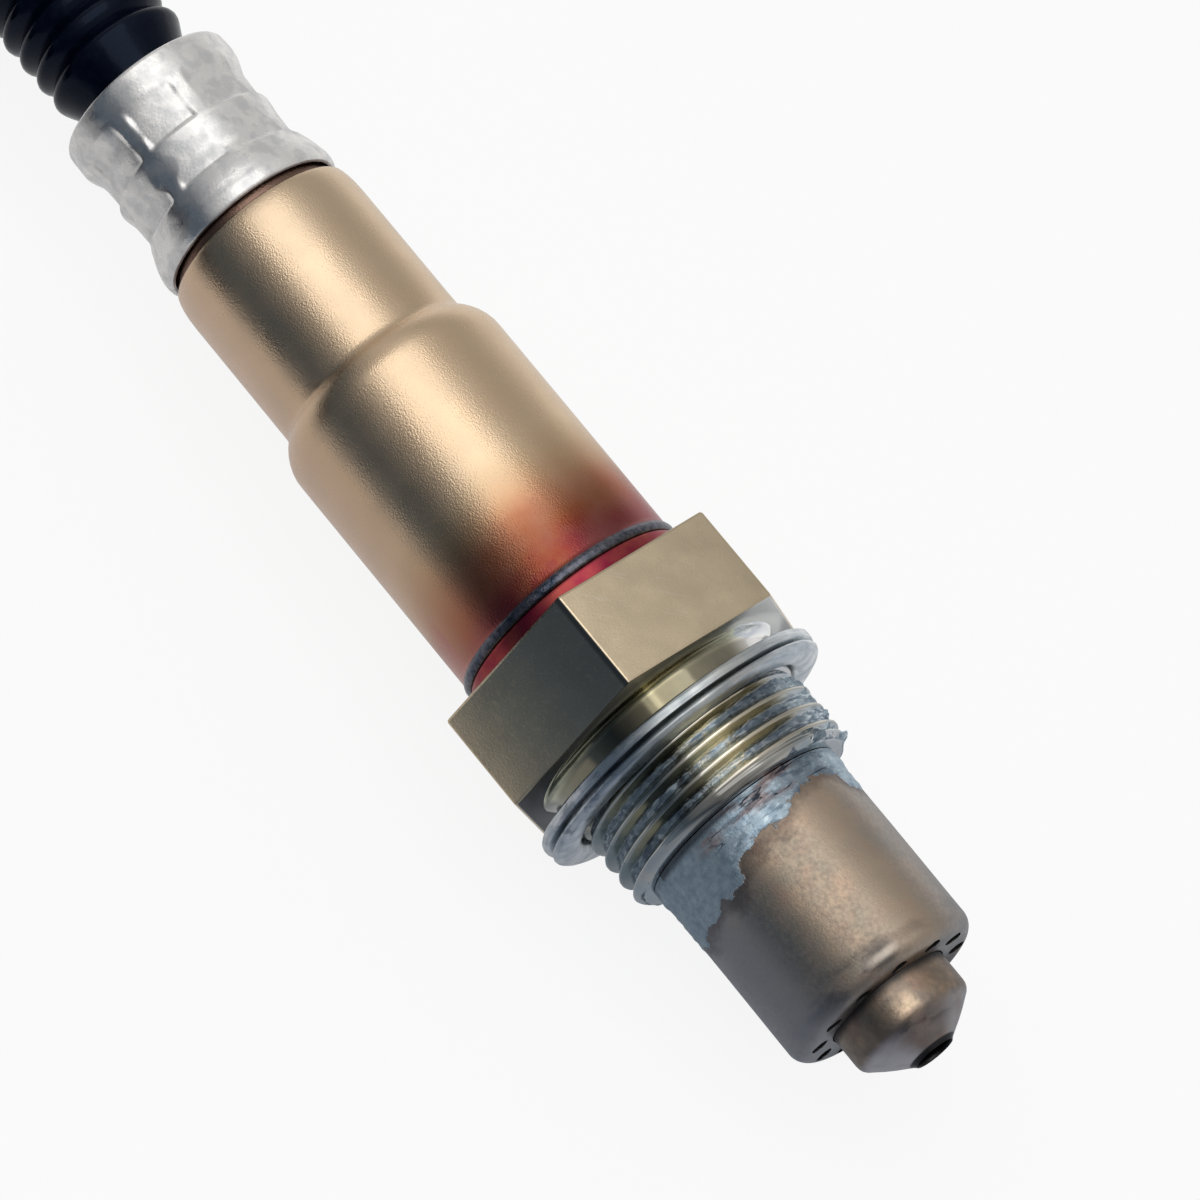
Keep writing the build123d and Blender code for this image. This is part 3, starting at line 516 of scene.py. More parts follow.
# Crimp sleeve: bell, two rows of eight flats pressed in, rounded rim.
crimp = {
    "bands": ((-53.25, 6.17), (-49.55, 6.24)),
    "firstAngle": 30.0,
    "flats": 8,
    "length": 2.7,
    "width": 3.9,
    "flatness": 0.6,
    "wall": 0.55,
}
crimpOuter = [
    (-45.0, 6.72), (-44.96, 6.9), (-45.02, 7.04), (-45.18, 7.15), (-45.5, 7.21), (-45.9, 7.2),
    (-46.6, 7.05), (-47.3, 6.86), (-48.0, 6.62), (-48.8, 6.44), (-49.6, 6.38), (-50.4, 6.4), (-51.2, 6.46),
    (-51.8, 6.46), (-52.4, 6.38), (-53.2, 6.34), (-54.0, 6.42), (-54.8, 6.58), (-55.5, 6.7), (-56.2, 6.74),
    (-56.9, 6.73), (-57.25, 6.7), (-57.42, 6.6), (-57.5, 6.42), (-57.46, 6.22),
]


def pressFlats(x, r, angle):
    wobble = 0.03 * np.sin(3 * angle + x * 1.3) + 0.025 * np.sin(5 * angle - x * 2.1)
    r = r + wobble * ramp(-57.3, -56, x) * (1 - ramp(-47.5, -45.5, x))
    for band, foot in crimp["bands"]:
        for k in range(crimp["flats"]):
            turn = radians(crimp["firstAngle"] + 360 / crimp["flats"] * k)
            off = (angle - turn + pi) % (2 * pi) - pi
            across = r * np.sin(off)
            nearFlat = np.cos(off) > 0.5
            lean = foot + 0.04 * sin(7 * k + band) - 0.03 * (x - band)
            flat = lean / np.maximum(np.cos(off), 0.5) ** crimp["flatness"]
            a = x - band
            half = crimp["length"] / 2
            ends = ramp(-half - 0.9, -half + 0.6, a) * (1 - ramp(half - 0.2, half + 0.18, a))
            sides = 1 - ramp(crimp["width"] / 2 - 0.2, crimp["width"] / 2 + 0.12, np.abs(across))
            press = ends * sides * nearFlat
            r = r + np.minimum(flat - r, 0) * press
    return x, r


crimpInner = [(x, r - crimp["wall"]) for x, r in crimpOuter[4:-3]]
crimpOutline = finer(crimpOuter, 0.12) + crimpInner[::-1]
crimpSleeve = turned("crimpSleeve", crimpOutline, 288, shape=pressFlats, sharp=38)
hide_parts("crimp_sleeve")
print("grommet and crimp made")

# Protective sleeve: thin, drawn in two steps, weld bead at its foot, neck under the crimp.
sleeveOuter = [
    (-9.22, 8.72), (-9.28, 8.86), (-9.45, 8.94), (-9.68, 8.95), (-9.88, 8.88), (-9.98, 8.76), (-10.4, 8.74),
    (-28.3, 8.75), (-28.8, 8.73), (-29.3, 8.63), (-29.8, 8.45), (-30.2, 8.24), (-30.55, 8.0), (-30.8, 7.78),
    (-31.0, 7.62), (-31.2, 7.52), (-31.5, 7.46), (-32.2, 7.45), (-41.9, 7.45), (-42.8, 7.42), (-43.4, 7.35),
    (-43.85, 7.26), (-44.1, 7.18), (-44.22, 7.08), (-44.26, 6.95), (-44.26, 6.55), (-45.9, 6.4),
    (-46.6, 5.5), (-55.2, 5.5),
]
sleeveInner = [
    (-55.2, 5.0), (-46.2, 5.0), (-44.9, 5.5), (-43.8, 6.5), (-41.9, 6.95), (-31.3, 6.95), (-30.5, 7.4),
    (-28.3, 8.25), (-9.25, 8.25),
]
sleeveOutline = finer(sleeveOuter, 1.2) + sleeveInner
protectiveSleeve = turned("protectiveSleeve", sleeveOutline, 256, sharp=60)
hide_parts("protective_sleeve")

# Housing: hexagon, collar, neck and threaded shank with anti-seize paste in its turns.
hexagon = {"apothem": 11.0, "edge": 0.22, "corner": 0.22, "start": -7.6}
cornerSteps = 5  # points round each corner


def hexRing(x, inset):
    ring = []
    corner = hexagon["corner"]
    reach = (hexagon["apothem"] - inset - corner) / cos(pi / 6)
    for k in range(6):
        middle = k * pi / 3
        for i in range(cornerSteps):
            a = middle + (i - 2) / 2 * pi / 6
            y = reach * cos(middle) + corner * cos(a)
            z = reach * sin(middle) + corner * sin(a)
            ring.append((x, y, z))
    return ring


edge = hexagon["edge"]
bevel = ((0, 1), (0.3, 0.3), (1, 0))  # way in from a face and inset from the flats, in edges
hexVertices = []
for way, inset in bevel:
    hexVertices += hexRing(hexagon["start"] + way * edge, inset * edge)
for way, inset in bevel[::-1]:
    hexVertices += hexRing(-way * edge, inset * edge)
ringSize = 6 * cornerSteps
hexFaces = [tuple(range(ringSize)), tuple(range(5 * ringSize, 6 * ringSize))]
hexFaces += ringFaces(6, ringSize)
wrenchHexagon = solid("wrenchHexagon", hexVertices, hexFaces, sharp=20)
collarOutline = [
    (-13.2, 8.15), (-9.2, 8.15), (-9.2, 8.74), (-9.1, 8.8), (-8.9, 8.8), (-7.7, 8.78), (-7.5, 8.9),
    (-7.5, 5.0), (-13.2, 5.0),
]
weldCollar = turned("weldCollar", collarOutline, 192, sharp=40)

thread = {
    "start": 3.4,
    "end": 9.3,
    "pitch": 1.5,
    "crest": 9.0,
    "depth": 0.86,
    "flat": 0.06,
    "foot": 0.39,
    "phase": 0.45,
    "land": 8.75,
    "root": 8.28,
    "middle": 8.5,
}
# Lumps of anti-seize paste: station, angle in degrees, height, size.
pasteLumps = (
    (9.0, 62, 0.75, 0.9), (8.5, 47, 0.6, 0.9), (9.1, 78, 0.5, 0.8), (9.2, 32, 0.6, 1.0),
    (7.6, 38, 0.35, 0.8), (6.4, 30, 0.35, 0.8), (5.2, 40, 0.3, 0.7), (9.2, 100, 0.2, 0.9),
    (9.3, 200, 0.2, 1.2), (8.9, 235, 0.25, 1.0), (9.0, 330, 0.4, 1.2), (9.1, 280, 0.35, 1.3),
)
# How deep paste fills the turns, by angle in degrees.
pasteFill = (
    (-20, 0.42), (15, 0.52), (38, 0.64), (56, 0.5), (74, 0.2), (96, 0.03), (125, -0.05), (150, 0.1),
    (190, 0.2), (230, 0.34), (340, 0.42),
)
pasteAmount = {}


def cutThread(x, r, angle):
    phase = ((x - thread["phase"]) / thread["pitch"] - angle / (2 * pi)) % 1
    away = np.minimum(phase, 1 - phase)
    drop = np.clip((away - thread["flat"]) / (thread["foot"] - thread["flat"]), 0, 1)
    turns = thread["crest"] - thread["depth"] * drop
    land = thread["crest"] - 0.05 - 0.55 * np.clip((x - 8.6) / 0.7, 0, 1) ** 2
    onLand = ramp(thread["land"] - 0.35, thread["land"] + 0.1, x)
    turns = turns * (1 - onLand) + np.minimum(np.maximum(turns, land), land) * onLand
    runIn = ramp(thread["start"] + 0.05, thread["start"] + 0.5, x)
    on = (x > thread["start"] + 0.01) & (x < thread["end"] + 0.01) & (r > 8.45)
    out = np.where(on, turns * runIn + thread["root"] * (1 - runIn), r)
    fill = np.interp(np.degrees(angle), *zip(*pasteFill), period=360)
    middle = thread["middle"]
    filled = np.full(out.shape, -1.0)
    rows, columns = out.shape
    for i in range(rows):
        if not on[i, 0]:
            continue
        for j in range(columns):
            y, z = middle * cos(angle[i, j]), middle * sin(angle[i, j])
            n = fractal(x[i, j], y * 0.5, z * 0.5, 0.6, 3)
            m = fractal(x[i, j] + 40, y * 0.45, z * 0.45, 1.6, 3)
            rough = 0.4 + 1.6 * fill[i, j]
            level = thread["crest"] - thread["depth"] + fill[i, j] + (0.2 * n + 0.07 * m) * rough
            for station, degrees, height, size in pasteLumps:
                turn = radians(degrees)
                dy = y - middle * cos(turn)
                dz = z - middle * sin(turn)
                d = ((x[i, j] - station) ** 2 + dy * dy + dz * dz) / (size * size)
                level += height * math.exp(-1.6 * d) * (0.7 + 0.9 * m)
            filled[i, j] = level - out[i, j]
    out = np.where(filled > 0, out + filled, out)
    pasteAmount["values"] = np.clip(filled, -1, 0.5).reshape(-1)
    return x, out


shankOutline = [
    (-0.3, 6.0), (-0.3, 9.85), (0.005, 9.75), (0.07, 9.5), (0.18, 9.27), (0.35, 9.08), (0.6, 8.95),
    (0.9, 8.9), (1.5, 8.9), (3.2, 8.9), (3.3, 8.8), (3.4, 8.45),
]
stations = np.arange(thread["start"] + 0.05, thread["end"], 0.06)
shankOutline += [(float(s), thread["middle"]) for s in stations]
shankOutline += [(9.3, 7.75), (9.32, 7.2), (9.32, 6.0)]
threadedShank = turned("threadedShank", shankOutline, 288, shape=cutThread, sharp=65)
paste = threadedShank.data.attributes.new("paste", "FLOAT", "POINT")
paste.data.foreach_set("value", pasteAmount["values"])
innerBody = turned("tipSpigot", [(9.3, 4.6), (9.3, 6.9), (12.1, 6.9), (12.1, 4.6)], 96)
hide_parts("sensor_housing")
print("housing made")

# Captive gasket: two folded layers open at a seam round the rim. It hangs loose on the neck,
# so it is tipped towards the thread on its upper side.
gasketLean = {"tip": 0.05, "towards": 118.0, "shift": -0.1, "edge": 11.5}
gasketOutline = [
    (1.78, 9.14), (1.72, 9.3), (1.72, 11.1), (1.78, 11.33), (1.9, 11.46), (2.1, 11.52), (2.34, 11.5),
    (2.5, 11.42), (2.57, 11.26), (2.6, 9.9), (2.76, 9.9), (2.75, 11.2), (2.81, 11.35), (2.94, 11.41),
    (3.09, 11.36), (3.25, 11.19), (3.39, 10.9), (3.48, 10.52), (3.51, 10.1), (3.48, 9.72), (3.38, 9.42),
    (3.22, 9.26), (3.0, 9.17),
]


def bendGasket(x, r, angle):
    wave = 0.03 * np.sin(2 * angle + 0.7) + 0.02 * np.sin(5 * angle)
    parted = 0.14 * ramp(2.65, 2.8, x) * (0.5 + 0.5 * np.cos(angle - radians(205)))
    r = np.minimum(r + 0.03 * np.sin(3 * angle), gasketLean["edge"])
    lean = gasketLean["tip"] * r * np.cos(angle - radians(gasketLean["towards"]))
    sag = 0.1 * (0.5 - 0.5 * np.cos(angle - radians(20)))
    return x + wave * ramp(9.5, 11.3, r) + parted + sag + lean, r


gasket = turned("gasket", gasketOutline, 224, shape=bendGasket, sharp=40)
for v in gasket.data.vertices:
    v.co.y += gasketLean["shift"] * mm
    v.co.z = max(v.co.z, -gasketLean["edge"] * mm)
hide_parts("seal_ring")
print("gasket made")

# Protection tubes.
outerTube = {
    "start": 9.35,
    "rim": 7.62,
    "radius": 7.5,
    "wall": 0.5,
    "end": 24.7,
    "round": 1.25,
    "bore": 4.63,
    "holes": 12,
    "holeRadius": 0.65,
    "holeRing": 5.87,
    "firstHole": 12.0,
}
tubeStart, tubeRim = outerTube["start"], outerTube["rim"]
tubeEnd, tubeRadius, tubeRound = outerTube["end"], outerTube["radius"], outerTube["round"]
edgeStation, edgeRadius = tubeEnd - tubeRound, tubeRadius - tubeRound
tubeFoot = [(tubeStart, tubeRim), (10.25, tubeRim - 0.01), (11.15, tubeRadius), (16.0, tubeRadius)]
outline = [(tubeStart, tubeRadius - 0.45)] + finer(tubeFoot, 0.12)
outline += [(float(s), tubeRadius) for s in np.arange(16.8, edgeStation, 0.8)]
outline.append((edgeStation, tubeRadius))


# Quarter of a circle over the tube's rounded edge, from one angle to another in right angles.
def overEdge(radius, start, end, steps):
    angles = [pi / 2 * (start + (end - start) * i / steps) for i in range(1, steps + 1)]
    return [(edgeStation + radius * cos(a), edgeRadius + radius * sin(a)) for a in angles]


outline += overEdge(tubeRound, 1, 0, 12)
outline += [
    (tubeEnd - 0.02, 5.4), (tubeEnd - 0.04, 4.95), (tubeEnd, 4.78), (tubeEnd - 0.05, 4.66),
    (tubeEnd - 0.15, outerTube["bore"]), (tubeEnd - 0.5, outerTube["bore"]), (tubeEnd - 0.54, 4.8),
    (tubeEnd - 0.5, edgeRadius),
]
outline += overEdge(tubeRound - outerTube["wall"], 0, 1, 8)

# Where the paste ends on the tube: angle in degrees, station.
pasteReach = (
    (38, 12.9), (52, 12.2), (64, 10.9), (84, 11.1), (96, 11.7), (108, 12.4), (120, 12.6), (134, 12.7),
    (142, 13.5), (150, 14.2), (170, 14.4), (210, 14.6), (280, 13.5), (350, 13.0),
)


# Millimetres inside the edge of the paste, below 0 outside it.
def pasteDepth(x, y, z):
    degrees = math.degrees(math.atan2(z, y))
    reach = float(np.interp(degrees, *zip(*pasteReach), period=360))
    return reach - x + 0.8 * fractal(x, y, z, 0.6, 5)


def wearTube(x, r, angle):
    dent = 0.02 * np.sin(2 * angle + 1.0) + 0.015 * np.sin(3 * angle + x * 0.4)
    r = np.where(r > 6.4, r + dent - 0.02, r)
    for i in range(len(x)):
        if not 9.6 < x[i, 0] < 16 or r[i, 0] < 7:
            continue
        for j in range(x.shape[1]):
            y, z = r[i, j] * cos(angle[i, j]), r[i, j] * sin(angle[i, j])
            thick = float(ramp(-0.1, 0.5, pasteDepth(x[i, j], y, z)))
            r[i, j] += thick * (0.05 + 0.06 * fractal(x[i, j] * 1.6, y * 0.8, z * 0.8, 1.3, 3))
    return x, r


outerShell = turned("outerTube", outline, 216, shape=wearTube, sharp=40)
drills = bmesh.new()
for k in range(outerTube["holes"]):
    a = radians(outerTube["firstHole"] + 360 / outerTube["holes"] * k)
    ring = outerTube["holeRing"]
    hole = Vector((tubeEnd - 0.25, ring * cos(a), ring * sin(a)))
    bmesh.ops.create_cone(
        drills,
        cap_ends=True,
        segments=32,
        radius1=outerTube["holeRadius"] * mm,
        radius2=outerTube["holeRadius"] * mm,
        depth=1.6 * mm,
        matrix=Matrix.Translation(hole * mm) @ Matrix.Rotation(pi / 2, 4, "Y"),
    )
drillMesh = bpy.data.meshes.new("drills")
drills.to_mesh(drillMesh)
drills.free()
drillObject = placed("drills", drillMesh)
cut = outerShell.modifiers.new("holes", "BOOLEAN")
cut.object = drillObject
cut.solver = "EXACT"
drilled = outerShell.evaluated_get(bpy.context.evaluated_depsgraph_get())
holed = bpy.data.meshes.new_from_object(drilled)
outerShell.modifiers.clear()
outerShell.data = holed
holed.set_sharp_from_angle(angle=radians(40))
bpy.data.objects.remove(drillObject)
tubePaste = holed.attributes.new("paste", "FLOAT", "POINT")
depths = [pasteDepth(*v.co / mm) if v.co.x < 0.017 else -3 for v in holed.vertices]
tubePaste.data.foreach_set("value", depths)
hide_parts("outer_protection_tube")

innerOutline = [
    (12.15, 6.95), (12.65, 6.95), (12.65, 5.9), (21.6, 5.9), (23.6, 4.58), (26.9, 4.58), (27.18, 4.55),
    (27.4, 4.47), (27.6, 4.31), (27.86, 3.97), (28.3, 3.4), (28.75, 2.74), (29.15, 2.1), (29.4, 1.7),
    (29.53, 1.57), (29.6, 1.51), (29.56, 1.46), (29.2, 1.44), (29.0, 1.55), (27.1, 4.18), (23.5, 4.18),
    (21.5, 5.5), (12.15, 5.5),
]
innerTube = turned("innerTube", innerOutline, 160, sharp=50)
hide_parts("inner_protection_tube")
print("tubes made")

# Materials, one for each look.
tintSteel, shader, place = material("tintSteel", Metallic=1.0, IOR=1.5)
wander = noiseAt(place, 0.12, 3.0)
# Cosine towards the front right. It pushes the heat tint farther along on that side and places the tint's
# painted light and shade below.
rightFacing = facing(place, 1.3)
station = plus(place["Station"], times(less(wander, 0.5), 2.4), times(rightFacing, 0.8))
spread = maths("DIVIDE", plus(station, 44.0), 36.0)
tint = stops(
    spread, (0.0, 0.77, 0.585, 0.4), (0.45, 0.78, 0.58, 0.385), (0.7, 0.77, 0.57, 0.375),
    (0.744, 0.7, 0.5, 0.31), (0.772, 0.64, 0.42, 0.25), (0.8, 0.58, 0.34, 0.19), (0.828, 0.5, 0.24, 0.13),
    (0.856, 0.42, 0.165, 0.082), (0.883, 0.355, 0.112, 0.047), (0.911, 0.3, 0.066, 0.042),
    (0.936, 0.27, 0.036, 0.042),
)
# Painted shade: the tint turns crimson on the right side and behind, away from the light.
crimsonShade = times(ease(rightFacing, 0.93, 0.55), ease(place["Turn"], 1.4, 1.0), ease(spread, 0.8, 0.88))
# Painted highlight: a brighter amber down the front where the highlight falls, broken up by the flare
# patches and toned down a little below.
amberHighlight = times(facing(place, 2.05, 0.93, 0.995), ease(spread, 0.78, 0.9))
flare = patches(place, 0.9, 0.5, 0.25, 4.0)
amberHighlight = times(amberHighlight, plus(0.3, times(flare, 0.5)))
tint = layered(tint, (crimsonShade, (0.36, 0.05, 0.085), 0.75), (amberHighlight, (0.46, 0.115, 0.04)))
tint = tinted(tint, amberHighlight, (0.78, 0.93, 1.0))
tint = tinted(tint, ease(spread, 0.76, 0.93), (0.84, 0.79, 0.84))
# Painted light: the deepest part of the tint is lighter and pinker on both sides, away from the front.
sides = times(facing(place, 1.7, 0.9, 0.7), ease(spread, 0.8, 0.93))
tint = tinted(tint, sides, (1.3, 1.14, 1.26))
# Painted reflection: the tint turns cooler and bluer on the far left.
tint = tinted(tint, facing(place, 3.49, 0.8, 1.0), (0.88, 0.96, 1.08))
# Painted light: a paler, lighter orange over the left side and the back.
paleLitSide = times(ease(rightFacing, 0.5, -0.6), 0.45)
beadMask = between(place, -10.08, -9.96)
beadTone = blend(patches(place, 2.6, 0.5, 0.3), (0.028, 0.042, 0.068), (0.13, 0.135, 0.175))
smudge = patches(place, 0.35, 0.42, 0.5)
# Painted shade: a dark brown band on the sleeve's shoulder, in the gap under the crimp sleeve's bell.
creviceShade = between(place, -44.14, -44.25)
tint = layered(
    tint, (paleLitSide, (0.82, 0.5, 0.35)), (beadMask, beadTone), (smudge, (0.5, 0.44, 0.36), 0.16),
    (creviceShade, (0.24, 0.15, 0.115)),
)
give(shader, "Base Color", tint)
under = bump(shader, noiseAt(place, 8.5, 1.0), 0.05, 0.42)
bump(shader, latheMarks(place, 6.0, 0.4), 0.01, 0.2, under)
give(shader, "Roughness", plus(0.24, times(smudge, 0.1)))
dress(protectiveSleeve, tintSteel)

silverSteel, shader, place = material("silverSteel")
scuffs = patches(place, 0.8, 0.45, 0.3, 5.0)
cloud = noiseAt(place, 0.9, 5.0)
plate = blend(scuffs, (0.95, 0.925, 0.89), (0.8, 0.79, 0.775))
plate = tinted(plate, ease(cloud, 0.56, 0.42), (0.84, 0.85, 0.87))
give(shader, "Base Color", plate)
give(shader, "Roughness", plus(0.27, times(scuffs, 0.14)))
# The plating is made chalky, less metallic, which paints the sleeve lighter, but for a strip down the front
# left that stays fully metallic and shows a darker reflected band: painted light and shade.
swayed = plus(place["Round"], times(less(cloud, 0.5), 0.06))
paintedChalkyMetallic = stops(swayed, (0.0, 0.66), (0.858, 0.66), (0.882, 1), (0.915, 1), (0.94, 0.66))
give(shader, "Metallic", paintedChalkyMetallic)
under = bump(shader, noiseAt(place, 5.0, 1.0), 0.03, 0.35)
bump(shader, latheMarks(place, 4.0, 0.4), 0.03, 0.25, under)
dress(crimpSleeve, silverSteel)

sheathPlastic, shader, place = material(
    "sheathPlastic", IOR=1.5, Specular_IOR_Level=0.2, Specular_Tint=(0.5, 0.66, 1.0, 1)
)
dust = patches(place, 1.3, 0.4, 0.25)
give(shader, "Base Color", blend(dust, (0.001, 0.002, 0.007), (0.002, 0.004, 0.012)))
give(shader, "Roughness", plus(0.17, times(dust, 0.1)))
bump(shader, noiseAt(place, 2.5, 3.0), 0.04, 0.3)
dress(leadSheath, sheathPlastic)
dress(grommet, sheathPlastic)

hexSteel, shader, place = material("hexSteel")
speckle = patches(place, 3.0, 0.4, 0.15, 5.0)
cloud = patches(place, 0.45, 0.5, 0.6)
tone = blend(cloud, (0.63, 0.515, 0.36), (0.8, 0.655, 0.45))
# Painted shade: the face left of the front corner is darkest next to the corner and lightens across it, as
# a dimmer reflection.
paintedFaceShade = times(maths("GREATER_THAN", place["Turn"], 2.094), ease(place["Turn"], 3.1, 2.2))
nicks = effect(scratchGroup, place, Slant=0.9, Fineness=5.0, Share=0.69)
# Painted reflection: a thin dark line beside the front corner, along its bright edge.
darkEdgeReflection = times(maths("GREATER_THAN", place["Turn"], 2.1), ease(place["Turn"], 2.135, 2.115))
# Painted light and shade on the hexagon's underside round the part: dark on most of it, light grey on the
# right, standing in for its reflections.
undersideLightAndShade = stops(
    place["Round"], (0.0, 0.045, 0.055, 0.07), (0.3, 0.06, 0.06, 0.07), (0.55, 0.5),
    (0.6, 0.92, 0.91, 0.89), (0.68, 0.92, 0.91, 0.89), (0.71, 0.2, 0.2, 0.19), (0.74, 0.2, 0.195, 0.16),
    (0.83, 0.26, 0.245, 0.19), (0.9, 0.11, 0.11, 0.105), (0.96, 0.045, 0.05, 0.06),
)
# Painted light: lighter towards the neck, lifting the shade between the underside and the neck.
undersideLightAndShade = shade(undersideLightAndShade, blend(ease(place["Radius"], 10.9, 10.0), (0.95, 0.95, 0.95), (2.1, 2.1, 2.0)))
below = between(place, -0.06, -0.01)
tone = layered(
    tone, (speckle, (0.52, 0.43, 0.31), 0.4), (paintedFaceShade, (0.26, 0.27, 0.26), 0.65),
    (nicks, (0.9, 0.85, 0.75), 0.12), (darkEdgeReflection, (0.05, 0.055, 0.06), 0.6), (below, undersideLightAndShade),
)
give(shader, "Base Color", tone)
speckle = times(speckle, inverted(below))
give(shader, "Metallic", inverted(times(below, 0.45)))
give(shader, "Roughness", plus(0.2, times(below, 0.2), times(speckle, 0.12)))
bump(shader, times(noiseAt(place, 6.0, 4.0), inverted(below)), 0.02, 0.3)
dress(wrenchHexagon, hexSteel)

collarSteel, shader, place = material("collarSteel", Metallic=1.0, Roughness=0.3)
stain = patches(place, 0.6, 0.5, 0.4)
give(shader, "Base Color", blend(stain, (0.27, 0.022, 0.055), (0.4, 0.075, 0.065)))
bump(shader, latheMarks(place, 6.0, 0.2), 0.03, 0.4)
dress(weldCollar, collarSteel)
dress(innerBody, collarSteel)

# Painted light and shade on the paste round the part: lit brightest in front and at the right, shaded
# between.
pastePaintedLight = (
    (0.0, 0.58, 0.61, 0.64), (0.028, 0.66, 0.68, 0.7), (0.3, 0.45, 0.45, 0.47), (0.55, 0.8, 0.82, 0.85),
    (0.64, 1), (0.68, 0.48, 0.49, 0.51), (0.71, 0.34, 0.35, 0.37), (0.75, 0.47, 0.47, 0.49), (0.79, 1),
    (0.81, 1.12), (0.83, 0.9, 0.91, 0.93), (0.89, 0.42, 0.45, 0.48), (0.96, 0.6, 0.62, 0.65),
)
threadSteel, shader, place = material("threadSteel")
grit = streaks(place, 4.0, 1.6, 5.0)
pasteLevel = plus(pasteAt(shader), times(less(grit, 0.5), 0.35))
pasteMask = ease(pasteLevel, -0.1, 0.03)
onThread = between(place, 3.3, 3.8)
# Darker in the roots of the turns: grime there plus painted shade.
rootGrimeAndShade = times(ease(place["Radius"], 8.4, 8.2), onThread)
crest = times(ease(place["Radius"], 8.86, 8.95), onThread)
cloud = patches(place, 1.2, 0.5, 0.5)
brass = blend(cloud, (0.62, 0.57, 0.42), (0.52, 0.485, 0.37))
# Painted light: the turns and the paste are lighter towards the right end.
litRightEnd = facing(place, 0.5, 0.7, 0.92)
# Painted highlight: a glint band down the front, where the darkening in the roots is lifted.
glint = facing(place, 1.93, 0.955, 0.995)
rootGrimeAndShade = times(rootGrimeAndShade, less(0.85, times(glint, 0.75)))
smear = patches(place, 0.5, 0.42, 0.5, 5.0)
# A blue-grey film on the turns everywhere but the front: paste residue plus painted bluish shade away from
# the front highlight.
aside = facing(place, 1.95, 0.85, 0.3)
filmAndShade = times(aside, onThread, plus(0.45, times(smear, 0.3)))
pasteTone = blend(patches(place, 1.7, 0.45, 0.4, 4.0), (0.2, 0.27, 0.33), (0.52, 0.61, 0.68))
navy = streaks(place, 2.6, 0.7, 6.0)
brass = layered(
    brass, (litRightEnd, (0.86, 0.85, 0.83)), (crest, (0.72, 0.66, 0.54)), (rootGrimeAndShade, (0.05, 0.055, 0.06)),
    (filmAndShade, (0.2, 0.27, 0.33)),
)
pale = streaks(place, 4.5, 1.3, 4.0)
pasteTone = layered(
    pasteTone, (ease(navy, 0.5, 0.58), (0.08, 0.12, 0.18), 0.65),
    (ease(pale, 0.54, 0.62), (0.82, 0.9, 0.94), 0.6),
)
pasteTone = tinted(pasteTone, litRightEnd, (1.25, 1.23, 1.2))
pasteTone = shadedRound(pasteTone, place, pastePaintedLight)
# The same painted light and shade for the bare turns, for the land at their end and for the neck.
turnsPaintedLight = (
    (0.0, 0.62, 0.72, 0.8), (0.3, 0.4), (0.6, 1), (0.65, 1), (0.7, 0.6), (0.76, 0.85, 0.84, 0.82), (0.8, 1),
    (0.83, 0.8, 0.84, 0.92), (0.85, 0.64, 0.67, 0.72), (0.9, 0.6, 0.66, 0.75), (0.96, 0.85, 0.9, 0.96),
)
landPaintedLight = (
    (0.0, 0.9, 0.97, 1), (0.3, 0.6), (0.64, 1), (0.7, 0.6, 0.67, 0.75), (0.75, 0.74, 0.74, 0.76),
    (0.8, 0.33, 0.33, 0.34), (0.84, 0.33, 0.34, 0.35), (0.9, 1),
)
neckPaintedLight = (
    (0.0, 0.54, 0.57, 0.59), (0.04, 0.48, 0.51, 0.54), (0.06, 0.12, 0.14, 0.17), (0.5, 0.2), (0.64, 1),
    (0.68, 0.85), (0.71, 0.52), (0.76, 0.5, 0.49, 0.47), (0.815, 0.5, 0.48, 0.42), (0.822, 0.9, 0.88, 0.75),
    (0.828, 0.4, 0.385, 0.34), (0.88, 0.22), (0.915, 0.4, 0.41, 0.4), (0.965, 0.5, 0.51, 0.51),
    (1.0, 0.54, 0.57, 0.59),
)
onNeck = shadedRound(brass, place, neckPaintedLight)
# Painted light: the neck is lighter in the fillet under the hexagon, lifting the shade there.
onNeck = tinted(onNeck, between(place, 0.75, 0.2), (2.1, 2.1, 2.0))
onLand = blend(smear, blend(0.55, brass, (0.94, 0.9, 0.84)), (0.5, 0.58, 0.66), 0.6)
onLand = shadedRound(onLand, place, landPaintedLight)
onTurns = shadedRound(shade(brass, (1.14, 1.14, 1.14)), place, turnsPaintedLight)
onTurns = blend(between(place, 8.2, 8.7), onTurns, onLand)
brass = blend(onThread, onNeck, onTurns)
give(shader, "Base Color", blend(pasteMask, brass, pasteTone))
give(shader, "Metallic", inverted(times(pasteMask, 0.55)))
give(shader, "Roughness", plus(0.12, times(filmAndShade, 0.3), times(pasteMask, 0.25)))
under = bump(shader, latheMarks(place, 7.0, 0.3), 0.01, 0.3)
bump(shader, times(grit, pasteMask), 0.12, 0.6, under)
dress(threadedShank, threadSteel)

gasketSteel, shader, place = material("gasketSteel", Metallic=1.0)
residue = patches(place, 0.9, 0.5, 0.4, 5.0)
zinc = blend(residue, (0.86, 0.88, 0.88), (0.66, 0.7, 0.72))
crust = streaks(place, 1.5, 0.7, 5.0)
